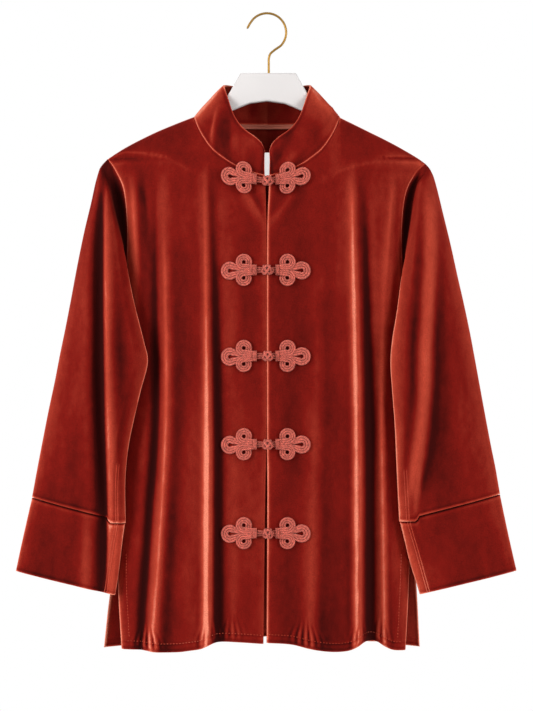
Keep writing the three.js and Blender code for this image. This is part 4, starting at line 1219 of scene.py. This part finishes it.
class JACKET_OT_neck_trim(Operator):
    """Build the tape over the back neck seam and the blank label under it"""

    bl_idname = "jacket.neck_trim"
    bl_label = "Neck tape and label"

    def execute(self, context):
        colours = context.scene.jacket_colours

        def inside(out, z, thickness, relief=0.0):
            side = RIGHT if out < 0 else LEFT
            inward = CLOTH_HALF + TRIM_CLEAR + thickness / 2 + relief
            return on_panel(side, abs(out), z, BACK, -inward)

        mesh = bmesh.new()
        grid(mesh, 60, 8, lambda across, down: inside(
            TAPE_HALF * (2 * across - 1),
            read(BACK_NECK, abs(TAPE_HALF * (2 * across - 1))) - TAPE_BELOW - TAPE_HEIGHT * down, 1.0,
            0.5 * abs(math.cos(math.pi * down)) + 0.3 * math.exp(-((across - 0.49) / 0.02) ** 2)))
        close_up(mesh)
        tape = finish_piece(
            "woven_neck_tape", mesh, woven_material("neck tape", tuple(colours.tape), 260),
            "neck_tape", 1.0, 0.3)
        mesh = bmesh.new()
        grid(mesh, 16, 18, lambda across, down: inside(
            LABEL_HALF * (2 * across - 1), mix(LABEL_TOP, LABEL_FOOT, down), 0.8,
            0.3 * math.sin(math.pi * down)))
        close_up(mesh)
        # The label glows with painted light, as it lies in shade inside the neck.
        label = finish_piece(
            "blank_neck_label", mesh, woven_material("blank label", tuple(colours.label), 300, 0.85),
            "neck_label", 0.8, 0.25)
        return {"FINISHED"}


# ------------------------------------------------------------------ frogs


def coil_line(loop, lane, band):
    """One cord of a side loop: along its bar from the band, and round its hole back to the bar."""
    out, up, size = loop
    way, middle = math.copysign(1, up), abs(up)
    pitch = (size - HOLE) / CORD_COUNT
    radius = HOLE + pitch * (lane + 0.5)
    at_band = 1.2 + (CORD_COUNT - 1 - lane) * 1.95
    bar = middle - radius
    points = [
        Vector((band, way * at_band)), Vector((mix(band, out, 0.35), way * mix(at_band, bar, 0.3))),
        Vector((mix(band, out, 0.7), way * mix(at_band, bar, 0.85))),
    ]
    last = 360 - math.degrees(math.acos(HOLE / radius)) + 14
    for step in range(19):
        turn = math.radians(last * step / 18)
        points.append(Vector((out + radius * math.sin(turn), way * (middle - radius * math.cos(turn)))))
    return points


def tear_line(loop, lane):
    """One cord of the outer loop: in from under the side loops, round a hole drawn to a point."""
    out, up, size = loop
    pitch = (size - HOLE) / CORD_COUNT
    radius = HOLE + pitch * (lane + 0.5)
    foot = out - 22
    tail = [
        Vector((foot, up * 0.3 + 0.7 + 1.5 * lane)), Vector((foot + 6, up * 0.6 + 0.9 + 1.9 * lane)),
    ]
    arc = []
    leave = math.radians(122)
    for step in range(17):
        turn = mix(leave, -leave, step / 16)
        arc.append(Vector((out + radius * math.cos(turn), up + radius * math.sin(turn))))
    back = [Vector((point.x, 2 * up * (0.3 if i else 0.6) - point.y))
            for i, point in enumerate(reversed(tail))]
    return [*tail, *arc, *back]


def frog_half(mesh, frog, half):
    """Adds one half of a frog: its three loops, the band round their bars, and the neck."""
    z, tilt, _, over_collar = frog
    side = FROG_SIDE[half]
    band = BAND_OUT[half]

    def lay(flat, off):
        z_there = z + flat.y + flat.x * tilt
        return on_panel(side, max(flat.x, 0.5), z_there, FRONT, 1.0 + over_collar + off)

    def cord(flat, lift, width, height=CORD_HEIGHT, turns=14):
        ends = len(flat) - 1
        line = [lay(point, height / 2 + (lift(i / ends) if callable(lift) else lift))
                for i, point in enumerate(flat)]
        tube(mesh, line, width, height, 8, turns)

    outer, *side_loops = FROG_LOOPS[half]
    pitch = (outer[2] - HOLE) / CORD_COUNT
    for lane in range(CORD_COUNT):
        cord(spline(tear_line(outer, lane), 2), 0.0, pitch * 1.04)
    for loop in side_loops:
        pitch = (loop[2] - HOLE) / CORD_COUNT
        for lane in range(CORD_COUNT):
            # The far end runs down under the bar that it closes against.
            cord(spline(coil_line(loop, lane, band), 2),
                 lambda t: mix(1.3, -0.6, smooth(t, 0.8, 0.97)), pitch * 1.04)
    # The wrapped band round the bars.
    for turn in range(BAND_CORDS):
        out = band + (turn - 1) * BAND_PITCH
        line = []
        for step in range(13):
            angle = math.pi * step / 12
            off = 0.4 + 4.3 * math.sin(angle) ** 0.6
            line.append(lay(Vector((out, BAND_HALF * math.cos(angle))), off))
        tube(mesh, line, 1.8, 2.0, 8, 5)
    # The neck: cords between the band and the knot, the outer pair under the middle one.
    for lane, lift in ((-1, 0.9), (1, 0.9), (0, 1.9)):
        twist = [Vector((mix(NECK_FROM[half], band, step / 8), lane * mix(2.0, 3.0, step / 8)))
                 for step in range(9)]
        cord(twist, lift, 2.7, 2.6, 5)
    if half == "loop":
        # The loop's own end, lying round under the knot.
        turns = [math.radians(mix(50, 175, step / 10)) for step in range(11)]
        ring = [Vector((2.2 - 5.0 * math.cos(turn), -5.2 * math.sin(turn))) for turn in turns]
        line = [lay(Vector((point.x + 0.4, point.y)), 3.2) for point in ring if point.x > 0]
        tube(mesh, line, 2.6, 2.4, 8, 4)


def woven_ball(mesh, centre, radius):
    """A knot of one cord laid over and under itself on a ball."""
    points = []
    turns, bights, steps = 3, 4, 180
    for step in range(steps + 1):
        t = 2 * math.pi * step / steps
        lon = turns * t
        lat = math.radians(56) * math.cos(bights * t)
        swell = radius * (0.76 + 0.09 * math.sin(2 * bights * t + 0.6))
        spot = Vector((math.cos(lat) * math.cos(lon), math.cos(lat) * math.sin(lon), math.sin(lat)))
        points.append(centre + spot * swell)
    tube(mesh, points, radius * 0.46, radius * 0.46, 8, 34)
    core = bmesh.ops.create_icosphere(mesh, subdivisions=2, radius=radius * 0.7 * MM)["verts"]
    bmesh.ops.translate(mesh, verts=core, vec=centre * MM)


class JACKET_OT_frogs(Operator):
    """Build the five frog fastenings of looped cord, each with a woven knot"""

    bl_idname = "jacket.frogs"
    bl_label = "Frogs"

    def execute(self, context):
        for number, frog in enumerate(FROGS, 1):
            z, _, knot_x, over_collar = frog
            for half in ("knot", "loop"):
                mesh = bmesh.new()
                frog_half(mesh, frog, half)
                if half == "knot":
                    off = 1.1 + over_collar + KNOT_RADIUS
                    spot = Vector((knot_x, -(stand_out(RIGHT, 0, z, FRONT) + off), z))
                    woven_ball(mesh, spot, KNOT_RADIUS)
                close_up(mesh)
                material = bpy.data.materials.get(BRAID_NAME) or braid_material()
                finish_piece(
                    f"braided_frog_{number}_{half}", mesh, material, f"frog_{number}_{half}")
        return {"FINISHED"}


# ------------------------------------------------------------------ hanger


class JACKET_OT_hanger(Operator):
    """Build the white hanger and its brass hook"""

    bl_idname = "jacket.hanger"
    bl_label = "Hanger"

    def outline(self):
        def upper(side):
            dip = [(SIGN[side] * out, z) for out, z in HANGER_DIP]
            return dip + [(SIGN[side] * out, shoulder_height(side, out) - 2.5) for out in HANGER_ARM]

        def lower(side):
            return [
                (SIGN[side] * (out - (2 if out == 196 else 0)),
                 shoulder_height(side, out) - mix(14, 34, clamp((196 - out) / 120)))
                for out in (196, 150, 100, 70)
            ]

        middle, half = HANGER_MIDDLE, HANGER_TOP_HALF
        cheek, cheek_z = HANGER_CHEEK
        return [
            (middle - half, HANGER_TOP), (middle + half, HANGER_TOP), (middle + cheek, cheek_z),
            *upper(LEFT), *lower(LEFT), *HANGER_ARCH,
            *[(-out, z) for out, z in reversed(HANGER_ARCH[:-1])],
            *reversed(lower(RIGHT)), *reversed(upper(RIGHT)), (middle - cheek, cheek_z),
        ]

    def execute(self, context):
        mesh = bmesh.new()
        depth = HANGER_HALF_DEPTH * MM
        corners = [mesh.verts.new((x * MM, -depth, z * MM)) for x, z in self.outline()]
        face = mesh.faces.new(corners)
        grown = bmesh.ops.extrude_face_region(mesh, geom=[face])["geom"]
        bmesh.ops.translate(
            mesh, verts=[e for e in grown if isinstance(e, bmesh.types.BMVert)], vec=(0, 2 * depth, 0))
        bmesh.ops.recalc_face_normals(mesh, faces=mesh.faces)
        rims = [edge for edge in mesh.edges if abs(edge.verts[0].co.y - edge.verts[1].co.y) < 1e-6]
        bmesh.ops.bevel(mesh, geom=rims, offset=HANGER_BEVEL * MM, segments=4, profile=0.5,
                        affect="EDGES", material=-1, clamp_overlap=True)
        bmesh.ops.triangulate(mesh, faces=[f for f in mesh.faces if len(f.verts) > 4])
        finish_piece("white_hanger", mesh, plastic_material(), "hanger_body")

        radius = HOOK_RING + HOOK_WIRE
        line = [Vector((HOOK_TIP[0], 0, HOOK_TIP[1]))]
        for step in range(0, 41, 4):
            angle = math.radians(mix(HOOK_FROM, HOOK_TO, step / 40))
            line.append(Vector((radius * math.cos(angle), 0, radius * math.sin(angle) - HOOK_RING)))
        line = spline([*line, *[Vector((x, 0, z)) for x, z in HOOK_STEM]], 8)
        mesh = bmesh.new()
        tube(mesh, line, HOOK_WIRE * 2, HOOK_WIRE * 2, 16, next_to_end=0.75)
        close_up(mesh)
        finish_piece("brass_hook", mesh, brass_material(), "hanger_hook")
        return {"FINISHED"}


# ------------------------------------------------------------------ stage


class JACKET_OT_stage(Operator):
    """Set up the pale floor, soft lights and the camera"""

    bl_idname = "jacket.stage"
    bl_label = "Studio"

    def lamp(self, name, place, size, power):
        data = bpy.data.lights.new(name, "AREA")
        data.shape = "RECTANGLE"
        data.size, data.size_y = size
        data.energy = power
        lamp = bpy.data.objects.new(name, data)
        lamp.location = place
        aim = Vector(LAMPS_AIM) - Vector(place)
        lamp.rotation_euler = aim.to_track_quat("-Z", "Y").to_euler()
        bpy.context.scene.collection.objects.link(lamp)

    def execute(self, context):
        scene = context.scene
        mesh = bmesh.new()
        bmesh.ops.create_circle(mesh, cap_ends=True, segments=64, radius=FLOOR_RADIUS)
        bmesh.ops.translate(mesh, verts=mesh.verts, vec=(0, 0, FLOOR_Z))
        data = bpy.data.meshes.new("floor")
        mesh.to_mesh(data)
        mesh.free()
        floor = bpy.data.objects.new("floor", data)
        scene.collection.objects.link(floor)
        data.materials.append(floor_material())

        # The white that the camera and reflections see is brighter than the light that it casts.
        world = bpy.data.worlds.new("studio white")
        scene.world = world
        world.use_nodes = True
        tree = world.node_tree
        seen = tree.nodes["Background"]
        fill(tree, seen, {"Color": (1, 1, 1, 1), "Strength": SEEN_STRENGTH})
        cast = add(tree, "Background", {"Color": (1, 1, 1, 1), "Strength": CAST_STRENGTH})
        path = add(tree, "LightPath", {})
        bright = add(tree, "Math", {
            0: path.outputs["Is Camera Ray"], 1: path.outputs["Is Glossy Ray"]}, operation="MAXIMUM")
        either = add(tree, "MixShader", {
            "Fac": bright.outputs["Value"], 1: cast.outputs["Background"],
            2: seen.outputs["Background"]})
        fill(tree, tree.nodes["World Output"], {"Surface": either.outputs["Shader"]})

        for lamp in LAMPS:
            self.lamp(*lamp)

        camera_data = bpy.data.cameras.new("camera")
        camera_data.lens = CAMERA_LENS
        camera_data.sensor_width = CAMERA_SENSOR
        camera = bpy.data.objects.new("camera", camera_data)
        camera.location = (CAMERA_X, -scene.jacket_sizes.camera_distance, CAMERA_Z)
        camera.rotation_euler = (math.radians(90), 0, 0)
        scene.collection.objects.link(camera)
        scene.camera = camera
        scene.view_settings.view_transform = "Standard"
        return {"FINISHED"}


PIECES = (
    JACKET_OT_hanger, JACKET_OT_back, JACKET_OT_neck_trim, JACKET_OT_sleeves, JACKET_OT_cuffs,
    JACKET_OT_fronts, JACKET_OT_collar, JACKET_OT_frogs, JACKET_OT_stage,
)


class JACKET_PT_sidebar(Panel):
    """Lists the jacket's sizes, colours and pieces"""

    bl_label = "Jacket"
    bl_idname = "JACKET_PT_sidebar"
    bl_space_type = "VIEW_3D"
    bl_region_type = "UI"
    bl_category = "Jacket"

    def draw(self, context):
        for group in (context.scene.jacket_sizes, context.scene.jacket_colours):
            box = self.layout.box()
            for name in group.__annotations__:
                box.prop(group, name)
        for piece in PIECES:
            self.layout.operator(piece.bl_idname)


CLASSES = (JacketSizes, JacketColours, *PIECES, JACKET_PT_sidebar)


def register():
    for one in CLASSES:
        bpy.utils.register_class(one)
    bpy.types.Scene.jacket_sizes = PointerProperty(type=JacketSizes)
    bpy.types.Scene.jacket_colours = PointerProperty(type=JacketColours)


def unregister():
    del bpy.types.Scene.jacket_colours
    del bpy.types.Scene.jacket_sizes
    for one in reversed(CLASSES):
        bpy.utils.unregister_class(one)


def main():
    register()
    for piece in PIECES:
        group, name = piece.bl_idname.split(".")
        getattr(getattr(bpy.ops, group), name)()


if __name__ == "__main__":
    main()
